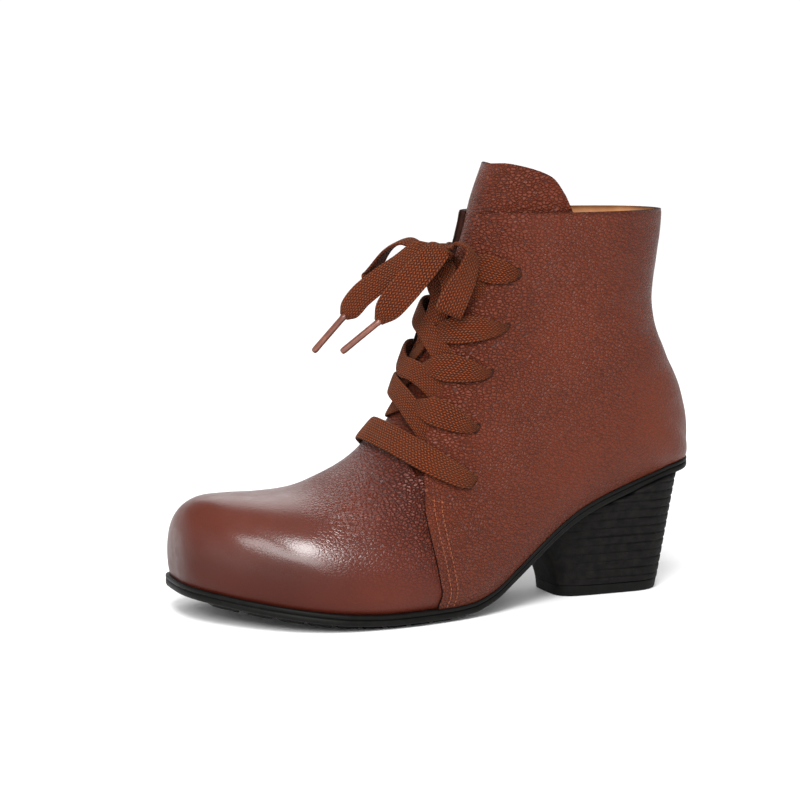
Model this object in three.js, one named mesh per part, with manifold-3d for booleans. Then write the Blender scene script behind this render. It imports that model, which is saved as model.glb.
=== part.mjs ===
// Lace-up ankle boot for the left foot, standing on its heel and forefoot.
// Millimetres. X runs from heel to toe, Y to the outer side of the foot, Z up from the floor.
// The origin is the middle of the heel's bottom face.
import * as THREE from "three";
import { mergeVertices } from "three/addons/utils/BufferGeometryUtils.js";
import Module from "manifold-3d";

const wasm = await Module();
wasm.setup();

// Driving dimensions
const lastLength = 248; // upper, from the back of the heel to the toe
const ballWidth = 98; // upper, across the ball
const shaftRise = 119; // collar above the seat at the back
const heelRise = 57; // seat at the back above the forefoot
const toeSpring = 9.6;
const treadHeight = 1.6;
const edgeHeight = 5.2; // outsole at its edge, without tread
const soleRim = 1.8; // outsole standing out past the upper
const wall = 1.8; // vamp leather with its lining
const quarterWall = 1.3; // quarter leather lying over the vamp
const insoleHeight = 3;
const tongueWall = 1.6;
const flapRise = 23; // tongue above the collar at the front
const laceWidth = 12;
const laceThick = 1.8;
const holeWidth = 4;
const heelLength = 56; // on the floor
const heelWidth = 36; // on the floor
const heelTopWidth = 55; // under the seat
const liftHeight = 5; // wear layer under the heel
const grooveStep = 4.1;
const grooveDepth = 0.8;
const knotSize = 12.5;
const agletLength = 21;
const agletWidth = 3;
const zipX = 15; // side zip, ahead of the heel's middle
const zipLow = 78; // its lower end above the floor
const zipWidth = 4.6; // closed chain
const zipThick = 1.8;
const pullLength = 17;
const pullWidth = 5;
const gap = 0.3; // between pieces that touch

// Sections of the last. A section lies in a plane across the boot, from a low point on the sole or
// up the back, to a high point on the vamp or up the front.
// lowX, highX: shares of the last's length, from the origin. lowUp, highUp: shares of the shaft's
// rise, above the seat line at lowX. out, inn: half widths to the outer and inner side, swing: shift
// of the whole section and lean: shift of its high point to the inner side, shares of the ball's
// width. belly: height of the widest place, share of the section. low, high: squareness below and
// above the widest place, 2 for an ellipse.
const sectionColumns = "lowX lowUp highX highUp out inn swing lean belly low high".split(" ");
const sections = [
  [0.833, 0.116, 0.833, 0.116, 0, 0, -0.173, 0, 0.5, 2.2, 2.2],
  [0.829, 0.015, 0.829, 0.21, 0.125, 0.165, -0.173, 0, 0.45, 2.4, 2.1],
  [0.813, 0, 0.813, 0.286, 0.219, 0.265, -0.158, 0, 0.4, 2.8, 2.1],
  [0.78, 0, 0.78, 0.338, 0.316, 0.35, -0.122, 0.01, 0.37, 3.2, 2.2],
  [0.73, 0, 0.73, 0.364, 0.413, 0.398, -0.077, 0.02, 0.35, 3.6, 2.2],
  [0.673, 0, 0.673, 0.382, 0.474, 0.454, -0.031, 0.031, 0.34, 4, 2.2],
  [0.605, 0, 0.605, 0.418, 0.51, 0.474, 0, 0.041, 0.33, 4, 2.1],
  [0.532, 0, 0.54, 0.487, 0.51, 0.459, 0.02, 0.051, 0.32, 4, 2],
  [0.46, 0, 0.492, 0.556, 0.5, 0.434, 0.026, 0.051, 0.31, 4, 1.9],
  [0.387, 0, 0.452, 0.649, 0.469, 0.408, 0.031, 0.051, 0.31, 4, 1.85],
  [0.315, 0, 0.419, 0.739, 0.434, 0.378, 0.026, 0.041, 0.32, 4, 1.8],
  [0.242, 0, 0.397, 0.782, 0.388, 0.357, 0.02, 0.031, 0.34, 4, 1.8],
  [0.169, 0, 0.375, 0.794, 0.367, 0.342, 0.01, 0.02, 0.36, 3.9, 1.8],
  [0.089, 0, 0.355, 0.792, 0.347, 0.342, 0.005, 0.01, 0.38, 3.7, 1.85],
  [0, 0, 0.337, 0.805, 0.342, 0.337, 0, 0, 0.4, 3.4, 1.9],
  [-0.089, 0, 0.321, 0.825, 0.332, 0.327, 0, 0, 0.42, 3, 1.9],
  [-0.153, 0, 0.306, 0.857, 0.321, 0.321, 0, 0, 0.44, 2.6, 1.95],
  [-0.171, 0.055, 0.298, 0.895, 0.316, 0.316, 0, 0, 0.46, 2.3, 2],
  [-0.169, 0.172, 0.292, 0.937, 0.311, 0.311, 0, 0, 0.48, 2.2, 2],
  [-0.145, 0.331, 0.286, 0.987, 0.306, 0.306, 0, 0, 0.49, 2.2, 2],
  [-0.107, 0.504, 0.28, 1.042, 0.301, 0.301, 0, 0, 0.5, 2.2, 2.1],
  [-0.093, 0.655, 0.274, 1.092, 0.296, 0.296, 0, 0, 0.5, 2.2, 2.1],
  [-0.101, 0.803, 0.266, 1.134, 0.296, 0.296, 0, 0, 0.5, 2.2, 2.1],
  [-0.111, 0.948, 0.256, 1.183, 0.296, 0.296, 0, 0, 0.5, 2.2, 2.1],
  [-0.113, 1.098, 0.246, 1.233, 0.299, 0.299, 0, 0, 0.5, 2.2, 2.1],
  [-0.113, 1.233, 0.238, 1.283, 0.301, 0.301, 0, 0, 0.5, 2.2, 2.1],
].map((row) => Object.fromEntries(row.map((value, k) => [sectionColumns[k], value])));

// Seat line, the outsole's upper face seen from the side.
// x: share of the last's length. up: share of the heel's rise. spring: share of the toe spring.
const seatLine = [
  { x: -0.169, up: 0.995, spring: 0 },
  { x: -0.109, up: 0.951, spring: 0 },
  { x: -0.065, up: 0.898, spring: 0 },
  { x: -0.008, up: 0.825, spring: 0 },
  { x: 0.044, up: 0.749, spring: 0 },
  { x: 0.091, up: 0.663, spring: 0 },
  { x: 0.137, up: 0.547, spring: 0 },
  { x: 0.185, up: 0.396, spring: 0 },
  { x: 0.238, up: 0.223, spring: 0 },
  { x: 0.29, up: 0.08, spring: 0 },
  { x: 0.339, up: 0.014, spring: 0 },
  { x: 0.387, up: 0, spring: 0 },
  { x: 0.5, up: 0, spring: 0 },
  { x: 0.573, up: 0, spring: 0.1 },
  { x: 0.621, up: 0, spring: 0.23 },
  { x: 0.681, up: 0, spring: 0.44 },
  { x: 0.742, up: 0, spring: 0.66 },
  { x: 0.798, up: 0, spring: 0.875 },
  { x: 0.835, up: 0, spring: 1.02 },
];

// Front edge of the quarter on the surface, from the sole to the collar. row: place along the
// sections. turn: angle from the high point round to the low point, in degrees.
const quarterEdge = [
  { row: 8.58, turn: 150 },
  { row: 8.6, turn: 118 },
  { row: 8.72, turn: 99 },
  { row: 8.7, turn: 80 },
  { row: 8.78, turn: 64 },
  { row: 9.1, turn: 53 },
  { row: 9.6, turn: 43 },
  { row: 10.3, turn: 35 },
  { row: 11.2, turn: 28 },
  { row: 12.2, turn: 22.5 },
  { row: 13.5, turn: 19 },
  { row: 15.5, turn: 17 },
  { row: 18, turn: 16.5 },
  { row: 21, turn: 16.5 },
  { row: 25, turn: 16.5 },
];

// Lace holes of one side, from the lowest up. dip: how many rows lower the lace crosses the throat.
const laceHoles = [
  { name: "lace_bar", row: 10.75, turn: 70, dip: 2.0 },
  { name: "lace_cross_1", row: 11.58, turn: 60.6, dip: 0.95 },
  { name: "lace_cross_2", row: 12.87, turn: 55.1, dip: 1.15 },
  { name: "lace_cross_3", row: 14.42, turn: 50.6, dip: 1.5 },
  { name: "lace_cross_4", row: 17.35, turn: 48, dip: 1.6 },
];

// Top of the tongue seen from the side. x: share of the last's length. up: share of the flap's rise
// above the collar.
const flapLine = [
  { x: 0.300, up: 0.97 },
  { x: 0.235, up: 1.0 },
  { x: 0.200, up: 0.92 },
  { x: 0.158, up: 0.75 },
  { x: 0.146, up: 0.66 },
  { x: 0.126, up: 0.36 },
  { x: 0.100, up: -0.12 },
  { x: -0.200, up: -0.30 },
];

// A smooth value from a table's column at a place, by cubic pieces that never overshoot.
function smooth(table, key, at, column) {
  const last = table.length - 1;
  let i = 0;
  while (i < last - 1 && table[i + 1][key] < at) i++;
  const slope = (k) => (table[k + 1][column] - table[k][column]) / (table[k + 1][key] - table[k][key]);
  const tangent = (k) => {
    if (k === 0) return slope(0);
    if (k === last) return slope(last - 1);
    const before = slope(k - 1);
    const after = slope(k);
    return before * after <= 0 ? 0 : (2 * before * after) / (before + after);
  };
  const span = table[i + 1][key] - table[i][key];
  const t = (at - table[i][key]) / span;
  if (t < 0) return table[0][column] + (at - table[0][key]) * tangent(0);
  if (t > 1) return table[last][column] + (at - table[last][key]) * tangent(last);
  return (
    table[i][column] * (1 + 2 * t) * (1 - t) ** 2 +
    tangent(i) * span * t * (1 - t) ** 2 +
    table[i + 1][column] * t * t * (3 - 2 * t) +
    tangent(i + 1) * span * t * t * (t - 1)
  );
}

// Height of the seat line at x.
function seat(x) {
  const at = x / lastLength;
  const up = smooth(seatLine, "x", at, "up");
  const spring = smooth(seatLine, "x", at, "spring");
  return treadHeight + edgeHeight + heelRise * up + toeSpring * spring;
}

// A column of the section table at any row, on a spline through the rows.
function sectionValue(row, column) {
  const last = sections.length - 1;
  const i = Math.min(Math.floor(row), last - 1);
  const at = (k) => sections[Math.max(0, Math.min(last, k))][column];
  const t = row - i;
  const [a, b, c, d] = [at(i - 1), at(i), at(i + 1), at(i + 2)];
  return b + 0.5 * t * (c - a + t * (2 * a - 5 * b + 4 * c - d + t * (3 * (b - c) + d - a)));
}

const tuck = 6; // sections reach below the seat line, where the sole closes them

// A point of the last: row along the sections, turn from the high point, positive to the outer side.
function bare(row, turn) {
  const value = (column) => sectionValue(row, column);
  const lowX = value("lowX") * lastLength;
  const ground = seat(lowX);
  const low = new THREE.Vector3(lowX, 0, ground + value("lowUp") * shaftRise);
  const high = new THREE.Vector3(value("highX") * lastLength, 0, ground + value("highUp") * shaftRise);
  const up = high.clone().sub(low);
  const under = tuck * Math.min(1, row / 2) * (1 - Math.min(1, Math.max(0, row - 15) / 2));
  const height = up.length() + under;
  up.normalize();
  const belly = value("belly") * height;
  const power = 2 / (Math.cos(turn) > 0 ? value("high") : value("low"));
  const wide = Math.sign(Math.sin(turn)) * Math.abs(Math.sin(turn)) ** power;
  const tall = Math.sign(Math.cos(turn)) * Math.abs(Math.cos(turn)) ** power;
  const half = wide > 0 ? value("out") : value("inn");
  const rise = belly + (tall > 0 ? height - belly : belly) * tall;
  const shift = value("swing") - value("lean") * Math.max(0, tall) ** 2;
  const point = low.addScaledVector(up, rise - under);
  point.y = (half * wide + shift) * ballWidth;
  return point;
}

// A point off the last's surface by the given distance outwards.
function surface(row, turn, off = 0) {
  const point = bare(row, turn);
  if (!off) return point;
  if (row < 0.02) return point.add(new THREE.Vector3(off, 0, 0));
  const step = 0.02;
  const along = bare(row + step, turn).sub(bare(row - step, turn));
  const round = bare(row, turn + step).sub(bare(row, turn - step));
  const normal = round.cross(along).normalize();
  return point.addScaledVector(normal, off);
}

// A solid of manifold-3d from points and triangles, facing out.
function solidFrom(points, faces) {
  const geometry = new THREE.BufferGeometry();
  const places = points.flatMap((p) => [p.x, p.y, p.z]);
  geometry.setAttribute("position", new THREE.Float32BufferAttribute(places, 3));
  geometry.setIndex(faces.flat());
  return toSolid(geometry);
}

function toSolid(geometry) {
  const bareGeometry = new THREE.BufferGeometry();
  bareGeometry.setAttribute("position", geometry.getAttribute("position"));
  bareGeometry.setIndex(geometry.index);
  const merged = mergeVertices(bareGeometry, 1e-4);
  const triVerts = new Uint32Array(merged.index.array);
  const vertProperties = new Float32Array(merged.getAttribute("position").array);
  const made = new wasm.Manifold(new wasm.Mesh({ numProp: 3, vertProperties, triVerts }));
  if (made.volume() > 0) return made;
  for (let i = 0; i < triVerts.length; i += 3) {
    [triVerts[i], triVerts[i + 1]] = [triVerts[i + 1], triVerts[i]];
  }
  return new wasm.Manifold(new wasm.Mesh({ numProp: 3, vertProperties, triVerts }));
}

function toMesh(name, solid, material) {
  const { vertProperties, triVerts } = solid.getMesh();
  const geometry = new THREE.BufferGeometry();
  geometry.setAttribute("position", new THREE.BufferAttribute(new Float32Array(vertProperties), 3));
  geometry.setIndex(new THREE.BufferAttribute(new Uint32Array(triVerts), 1));
  geometry.computeVertexNormals();
  const mesh = new THREE.Mesh(geometry, material);
  mesh.name = name;
  return mesh;
}

// A closed solid from rings of points of one length, with a fan of triangles over each end.
function loft(rings) {
  const points = rings.flat();
  const count = rings[0].length;
  const faces = [];
  for (let i = 0; i + 1 < rings.length; i++) {
    for (let j = 0; j < count; j++) {
      const [a, b] = [i * count + j, i * count + ((j + 1) % count)];
      faces.push([a, b, b + count], [a, b + count, a + count]);
    }
  }
  for (const first of [true, false]) {
    const ring = first ? rings[0] : rings[rings.length - 1];
    const start = first ? 0 : (rings.length - 1) * count;
    const middle = points.length;
    points.push(ring.reduce((sum, p) => sum.add(p), new THREE.Vector3()).divideScalar(count));
    for (let j = 0; j < count; j++) {
      const [a, b] = [start + j, start + ((j + 1) % count)];
      faces.push(first ? [middle, b, a] : [middle, a, b]);
    }
  }
  return solidFrom(points, faces);
}

const lastRow = sections.length - 1;

// The whole last as a solid, grown or shrunk by a distance.
function lastSolid(off, along, around) {
  const rings = [];
  for (let i = 0; i <= along; i++) {
    const row = 0.12 + ((lastRow - 0.12) * i) / along;
    const turn = (j) => (2 * Math.PI * (j + 0.5)) / around - Math.PI;
    rings.push(Array.from({ length: around }, (_, j) => surface(row, turn(j), off)));
  }
  return loft(rings);
}

// A piece of skin: place(u, v) gives row and turn, low and high are its distances off the last.
function skin(place, low, high, along, across) {
  const points = [];
  const faces = [];
  const at = (side, i, j) => (side * (along + 1) + i) * (across + 1) + j;
  for (const off of [low, high]) {
    for (let i = 0; i <= along; i++) {
      for (let j = 0; j <= across; j++) {
        const [row, turn] = place(i / along, j / across);
        points.push(surface(row, turn, off));
      }
    }
  }
  const quad = (a, b, c, d) => faces.push([a, b, c], [a, c, d]);
  for (let i = 0; i < along; i++) {
    for (let j = 0; j < across; j++) {
      quad(at(1, i, j), at(1, i, j + 1), at(1, i + 1, j + 1), at(1, i + 1, j));
      quad(at(0, i, j), at(0, i + 1, j), at(0, i + 1, j + 1), at(0, i, j + 1));
    }
  }
  for (let i = 0; i < along; i++) {
    quad(at(0, i, 0), at(1, i, 0), at(1, i + 1, 0), at(0, i + 1, 0));
    quad(at(0, i, across), at(0, i + 1, across), at(1, i + 1, across), at(1, i, across));
  }
  for (let j = 0; j < across; j++) {
    quad(at(0, 0, j), at(0, 0, j + 1), at(1, 0, j + 1), at(1, 0, j));
    quad(at(0, along, j), at(1, along, j), at(1, along, j + 1), at(0, along, j + 1));
  }
  return solidFrom(points, faces);
}

// A prism with a side-view outline [x, z], across the whole width.
function sidePrism(outline, halfWidth = ballWidth) {
  const shape = new THREE.Shape(outline.map(([x, z]) => new THREE.Vector2(x, z)));
  const geometry = new THREE.ExtrudeGeometry(shape, { depth: 2 * halfWidth, bevelEnabled: false });
  geometry.rotateX(Math.PI / 2);
  geometry.translate(0, halfWidth, 0);
  return toSolid(geometry);
}

// Side view of the slab between two heights over the seat line.
function seatSlab(low, high) {
  const steps = 44;
  const [from, to] = [-0.24 * lastLength, 0.9 * lastLength];
  const x = (i) => from + ((to - from) * i) / steps;
  const along = Array.from({ length: steps + 1 }, (_, i) => x(i));
  return sidePrism([
    ...along.map((at) => [at, seat(at) + low]),
    ...along.reverse().map((at) => [at, seat(at) + high]),
  ]);
}

const radians = THREE.MathUtils.degToRad;
const collarZ = seat(-0.17 * lastLength) + shaftRise;

// Point of a list of rows and turns at a share of its way, smooth between its rows.
function edgeAt(list, share) {
  const at = share * (list.length - 1);
  const rows = list.map((entry, i) => ({ ...entry, i }));
  return [smooth(rows, "i", at, "row"), radians(smooth(rows, "i", at, "turn"))];
}

// Row and turn on one side at a place seen from the side. side: 1 outer, -1 inner.
function atSide(x, z, side) {
  const ends = (row) => [bare(row, 0), bare(row, Math.PI)];
  let [behind, ahead] = [lastRow, 1];
  for (let i = 0; i < 40; i++) {
    const middle = (behind + ahead) / 2;
    const [high, low] = ends(middle);
    const past = (high.x - low.x) * (z - low.z) - (high.z - low.z) * (x - low.x);
    if (past < 0) behind = middle;
    else ahead = middle;
  }
  let [top, bottom] = [0, Math.PI];
  const [high, low] = ends(ahead);
  const along = (p) => (p.x - low.x) * (high.x - low.x) + (p.z - low.z) * (high.z - low.z);
  for (let i = 0; i < 40; i++) {
    const middle = (top + bottom) / 2;
    if (along(bare(ahead, side * middle)) > along({ x, z })) top = middle;
    else bottom = middle;
  }
  return [ahead, side * top];
}

// Outline of the last at the seat line, grown by a distance, as [x, y] points.
function seatOutline(off, steps = 40) {
  const above = (row, turn) => {
    const p = surface(row, turn, off);
    return p.z - seat(p.x);
  };
  const crossing = (from, to, test) => {
    let [a, b] = [from, to];
    for (let i = 0; i < 40; i++) {
      const middle = (a + b) / 2;
      if (test(middle) > 0) a = middle;
      else b = middle;
    }
    return b;
  };
  const toeRow = crossing(0.03, 3, (row) => above(row, Math.PI));
  const heelRow = crossing(18.5, 14, (row) => above(row, Math.PI));
  const sides = [[], []];
  for (let i = 1; i < steps; i++) {
    const row = toeRow + ((heelRow - toeRow) * (1 - Math.cos((Math.PI * i) / steps))) / 2;
    [1, -1].forEach((side, k) => {
      const turn = crossing(Math.PI / 2, Math.PI, (t) => above(row, side * t));
      const p = surface(row, side * turn, off);
      sides[k].push([p.x, p.y]);
    });
  }
  const end = (row) => {
    const p = surface(row, Math.PI, off);
    return [p.x, p.y];
  };
  return [end(toeRow), ...sides[0], end(heelRow), ...sides[1].reverse()];
}

// A vertical prism over an outline of [x, y] points.
function planPrism(outline, low, high) {
  const shape = new THREE.Shape(outline.map(([x, y]) => new THREE.Vector2(x, y)));
  const geometry = new THREE.ExtrudeGeometry(shape, { depth: high - low, bevelEnabled: false });
  geometry.translate(0, 0, low);
  return toSolid(geometry);
}

function block(lengthX, widthY, heightZ, x, y, z) {
  return toSolid(new THREE.BoxGeometry(lengthX, widthY, heightZ).translate(x, y, z));
}

// A cylinder along X.
function pin(radius, length, x, y, z) {
  const round = new THREE.CylinderGeometry(radius, radius, length, 20).rotateZ(Math.PI / 2);
  return toSolid(round.translate(x, y, z));
}

// A flat band along a smooth route. At a share of the route, across gives the way that its width runs
// and width how wide it is.
function band(route, across, width, thick, steps) {
  const curve = new THREE.CatmullRomCurve3(route, false, "centripetal");
  const rings = [];
  for (let i = 0; i <= steps; i++) {
    const middle = curve.getPoint(i / steps);
    const ahead = curve.getTangent(i / steps);
    const flat = ahead.clone().cross(across(i / steps)).normalize();
    const side = flat.clone().cross(ahead).normalize();
    const half = width(i / steps) / 2;
    const corner = ([a, b]) =>
      middle.clone().addScaledVector(side, a * half).addScaledVector(flat, (b * thick) / 2);
    rings.push([[-1, 0], [-0.86, -1], [0.86, -1], [1, 0], [0.86, 1], [-0.86, 1]].map(corner));
  }
  return loft(rings);
}

function makeUpper() {
  const body = lastSolid(0, 40, 30);
  const hollow = lastSolid(-wall, 30, 24);
  const quarter = skin(
    (u, v) => {
      const [row, turn] = edgeAt(quarterEdge, u);
      const back = quarterEdge[0].row + (lastRow - quarterEdge[0].row) * u ** 0.8;
      const share = 2 * Math.min(v, 1 - v);
      const round = turn + (Math.PI - turn) * share;
      return [row + (back - row) * share, v <= 0.5 ? round : 2 * Math.PI - round];
    },
    -0.75 * wall, quarterWall, 24, 32,
  );
  const throatStart = 5 / (quarterEdge.length - 1);
  const bite = radians(1.2);
  const throat = skin(
    (u, v) => {
      const [row, turn] = edgeAt(quarterEdge, throatStart + (1 - throatStart) * u);
      return [row + 0.3 * u, (turn - bite) * (2 * v - 1)];
    },
    -5, 5, 24, 4,
  );
  const above = sidePrism([[-120, collarZ], [150, collarZ], [150, 400], [-120, 400]]);
  let holes = null;
  for (const { row, turn } of laceHoles) {
    for (const side of [-1, 1]) {
      const [inner, outer] = [-5, 5].map((off) => surface(row, side * radians(turn), off));
      const drill = new THREE.CylinderGeometry(holeWidth / 2, holeWidth / 2, 10, 8);
      const way = outer.clone().sub(inner).normalize();
      drill.applyQuaternion(new THREE.Quaternion().setFromUnitVectors(new THREE.Vector3(0, 1, 0), way));
      const middle = inner.add(outer).multiplyScalar(0.5);
      const hole = toSolid(drill.translate(middle.x, middle.y, middle.z));
      holes = holes ? holes.add(hole) : hole;
    }
  }
  const slit = block(zipWidth + 1, ballWidth, 2 * collarZ, zipX, -ballWidth / 2 - 5, zipLow - gap + collarZ);
  return body.add(quarter).subtract(hollow).subtract(throat).subtract(holes).subtract(slit)
    .subtract(above).subtract(seatSlab(-60, gap));
}

function makeTongue() {
  const spread = [
    { row: 8.7, turn: 50 },
    { row: 11, turn: 48 },
    { row: 14, turn: 50 },
    { row: 17, turn: 60 },
    { row: 20, turn: 80 },
    { row: 25, turn: 88 },
  ];
  const outside = -wall - 3 * gap;
  const leaf = skin(
    (u, v) => {
      const row = spread[0].row + (lastRow - spread[0].row) * u;
      return [row, radians(smooth(spread, "row", row, "turn")) * (2 * v - 1)];
    },
    outside - tongueWall, outside, 22, 10,
  );
  const line = flapLine.map(({ x, up }) => [x * lastLength, collarZ + up * flapRise]);
  const [front, low] = [line[0][0] + 60, line[0][1]];
  return leaf.subtract(sidePrism([[front, low], ...line, [-0.2 * lastLength, 400], [front, 400]]));
}

function makeOutsole() {
  const edge = planPrism(seatOutline(soleRim), -20, 120).intersect(seatSlab(-edgeHeight, 0));
  const [first, last, count] = [0.375, 0.80, 9];
  const step = ((last - first) * lastLength) / count;
  let bars = null;
  for (let i = 0; i < count; i++) {
    const x = first * lastLength + (i + 0.5) * step;
    for (const side of [-1, 1]) {
      const width = ballWidth / 2;
      const bar = block(step - 3, width, 60, x, side * (width / 2 + 1.5), 10);
      bars = bars ? bars.add(bar) : bar;
    }
  }
  const tread = planPrism(seatOutline(-1.5), -20, 120)
    .intersect(seatSlab(-edgeHeight - treadHeight, -edgeHeight + 0.6))
    .intersect(bars);
  return edge.add(tread);
}

function makeInsole() {
  return planPrism(seatOutline(-wall - 4 * gap), -20, 120).intersect(seatSlab(gap, gap + insoleHeight));
}

const heelTopZ = seat(-0.1 * lastLength) - edgeHeight;

// The heel's outline at a height, drawn in by an inset on its sides and back.
function heelRing(z, inset, count = 26) {
  const up = z / heelTopZ;
  const back = -heelLength / 2 - 9 * up;
  const front = heelLength / 2 + 18 * (z / 30) ** 2.2 * (z < 30 ? 1 : 0) + (z < 30 ? 0 : 18);
  const half = (heelWidth + (heelTopWidth - heelWidth) * up) / 2;
  const middle = back + half;
  return Array.from({ length: count }, (_, i) => {
    const angle = (2 * Math.PI * i) / count;
    const [c, s] = [Math.cos(angle), Math.sin(angle)];
    const power = c > 0 ? 2 / 5 : 2 / 2.4;
    const reach = c > 0 ? front - middle : middle - back - inset;
    const drawn = c > 0 ? inset * (1 - Math.min(1, c * 1.6)) : inset;
    return new THREE.Vector3(
      middle + reach * Math.sign(c) * Math.abs(c) ** power,
      (half - drawn) * Math.sign(s) * Math.abs(s) ** power,
      z,
    );
  });
}

function makeHeel() {
  const from = liftHeight + gap;
  const rings = [heelRing(from, 0)];
  for (let z = from + 2.6; z < heelTopZ + 2; z += grooveStep) {
    rings.push(heelRing(z, 0), heelRing(z + 0.6, grooveDepth), heelRing(z + 1.2, 0));
  }
  rings.push(heelRing(heelTopZ + 12, 0));
  return loft(rings).subtract(seatSlab(-edgeHeight - gap, 120));
}

// Lace from hole to hole over the facings, lower over the throat and drawn in at the holes.
function makeLaceRow({ row, turn, dip }) {
  const low = quarterWall + 2 * gap;
  return skin(
    (u, v) => {
      const share = 2 * u - 1;
      const [middle, side] = [row - dip * (1 - share * share), radians(turn) * share];
      const spacing = surface(middle + 0.1, side, low).distanceTo(surface(middle - 0.1, side, low)) / 0.2;
      const width = laceWidth * (1 - 0.45 * Math.abs(share) ** 6);
      return [middle + ((v - 0.5) * width) / spacing, side];
    },
    low, low + laceThick, 20, 1,
  );
}

const knot = surface(15.1, radians(8.8), quarterWall + 3 * gap + laceThick + 0.53 * knotSize);
const fromKnot = ([x, y, z]) => new THREE.Vector3(x, y, z).add(knot);
// Routes of the bow's loops and ends. Each row is a point from the knot's middle in mm (x, y, z), the
// way that the lace's width runs there (x, y, z), and its width there as a share of laceWidth.
const bow = [
  {
    name: "bow_loop_outer",
    route: [
      [-5.5, 6.5, 5.5, -0.7, -0.7, 0.2, 0.75],
      [-7.5, 9, 6.5, -0.8, -0.6, -0.1, 0.9],
      [-10.5, 14.5, 2.5, -0.7, -0.6, -0.4, 1],
      [-8.5, 16, -5, -0.9, -0.3, -0.3, 1],
      [-4.5, 15.5, -13, -0.9, 0.1, -0.4, 1.05],
      [-0.5, 15.5, -20.5, -0.9, 0.2, -0.4, 1.1],
      [0.5, 14, -24, -0.9, 0.2, -0.4, 1.1],
      [-0.5, 11, -23, -0.9, 0.2, -0.4, 1],
      [-3, 9, -14, -0.9, 0.2, -0.3, 0.8],
      [-2, 4.5, -5, -1, 0.1, 0.1, 0.8],
    ],
  },
  {
    name: "bow_loop_inner",
    route: [
      [6.5, -7, 4.5, 0.8, 0.5, -0.2, 0.75],
      [11, -12.5, 7, 0.8, 0.6, -0.2, 0.9],
      [16, -20.5, 3, 0.7, 0.7, -0.1, 1],
      [20.5, -25.5, -5.5, 0.7, 0.6, 0.1, 1],
      [22.5, -27, -10, 0.8, 0.5, 0.2, 1],
      [23, -24.5, -12.5, 0.8, 0.5, 0.3, 1],
      [21, -19.5, -11.5, 0.8, 0.4, 0.4, 1],
      [17, -14, -8.5, 0.8, 0.3, 0.5, 0.95],
      [11.5, -6.5, -3.5, 0.6, 0.1, 0.8, 0.85],
      [6.5, -2, -1.5, 0.4, 0, 0.9, 0.75],
    ],
  },
  {
    name: "bow_end_front", aglet: "aglet_front", tip: [45, -6.5, -42.5],
    route: [
      [1.5, 6.5, 4.5, -0.6, 0.7, -0.4, 1],
      [5.5, 8, 1.5, -0.6, 0.7, -0.5, 1.1],
      [12, 8.5, -5, -0.6, 0.6, -0.6, 1.15],
      [20, 5.5, -15, -0.6, 0.5, -0.6, 1.15],
      [26, 2.5, -23, -0.6, 0.4, -0.6, 1],
      [29.5, 0.5, -28.5, -0.7, 0.4, -0.6, 0.38],
    ],
  },
  {
    name: "bow_end_back", aglet: "aglet_back", tip: [51.5, -26, -44],
    route: [
      [6.5, 1.5, 3.5, 0, 0.7, -0.7, 0.85],
      [10.5, 0.5, 3, -0.1, 0.7, -0.7, 0.95],
      [17.5, -3.5, -3.5, -0.2, 0.7, -0.7, 1],
      [25, -9.5, -10.5, -0.3, 0.6, -0.8, 1],
      [32, -14.5, -17.5, -0.4, 0.6, -0.7, 1],
      [36.5, -17.5, -24, -0.5, 0.6, -0.6, 0.9],
      [39, -19, -27.5, -0.6, 0.5, -0.6, 0.38],
    ],
  },
];

// A column of a route at a share of its length, between its rows.
function between(route, share, column) {
  const at = Math.min(share * (route.length - 1), route.length - 1.0001);
  const row = Math.floor(at);
  return route[row][column] + (at - row) * (route[row + 1][column] - route[row][column]);
}

function makeBow(group, lace, plastic) {
  const ball = new THREE.SphereGeometry(knotSize / 2, 14, 8).translate(knot.x, knot.y, knot.z);
  group.add(toMesh("bow_knot", toSolid(ball), lace));
  for (const { name, route, aglet, tip } of bow) {
    const across = (share) => new THREE.Vector3(...[3, 4, 5].map((column) => between(route, share, column)));
    const width = (share) => laceWidth * between(route, share, 6);
    group.add(toMesh(name, band(route.map(fromKnot), across, width, laceThick, 3 * route.length - 4), lace));
    if (!aglet) continue;
    const end = fromKnot(route[route.length - 1]);
    const way = fromKnot(tip).sub(end).normalize();
    const tube = new THREE.CylinderGeometry(agletWidth / 2, agletWidth / 2, agletLength, 10);
    tube.applyQuaternion(new THREE.Quaternion().setFromUnitVectors(new THREE.Vector3(0, 1, 0), way));
    const middle = end.clone().addScaledVector(way, agletLength / 2 + gap + 0.4);
    group.add(toMesh(aglet, toSolid(tube.translate(middle.x, middle.y, middle.z)), plastic));
  }
}

// Place on the inner side on the zip's line, a distance off the last.
function zipPoint(z, off) {
  const [row, turn] = atSide(zipX, z, -1);
  return surface(row, turn, off);
}

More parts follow.
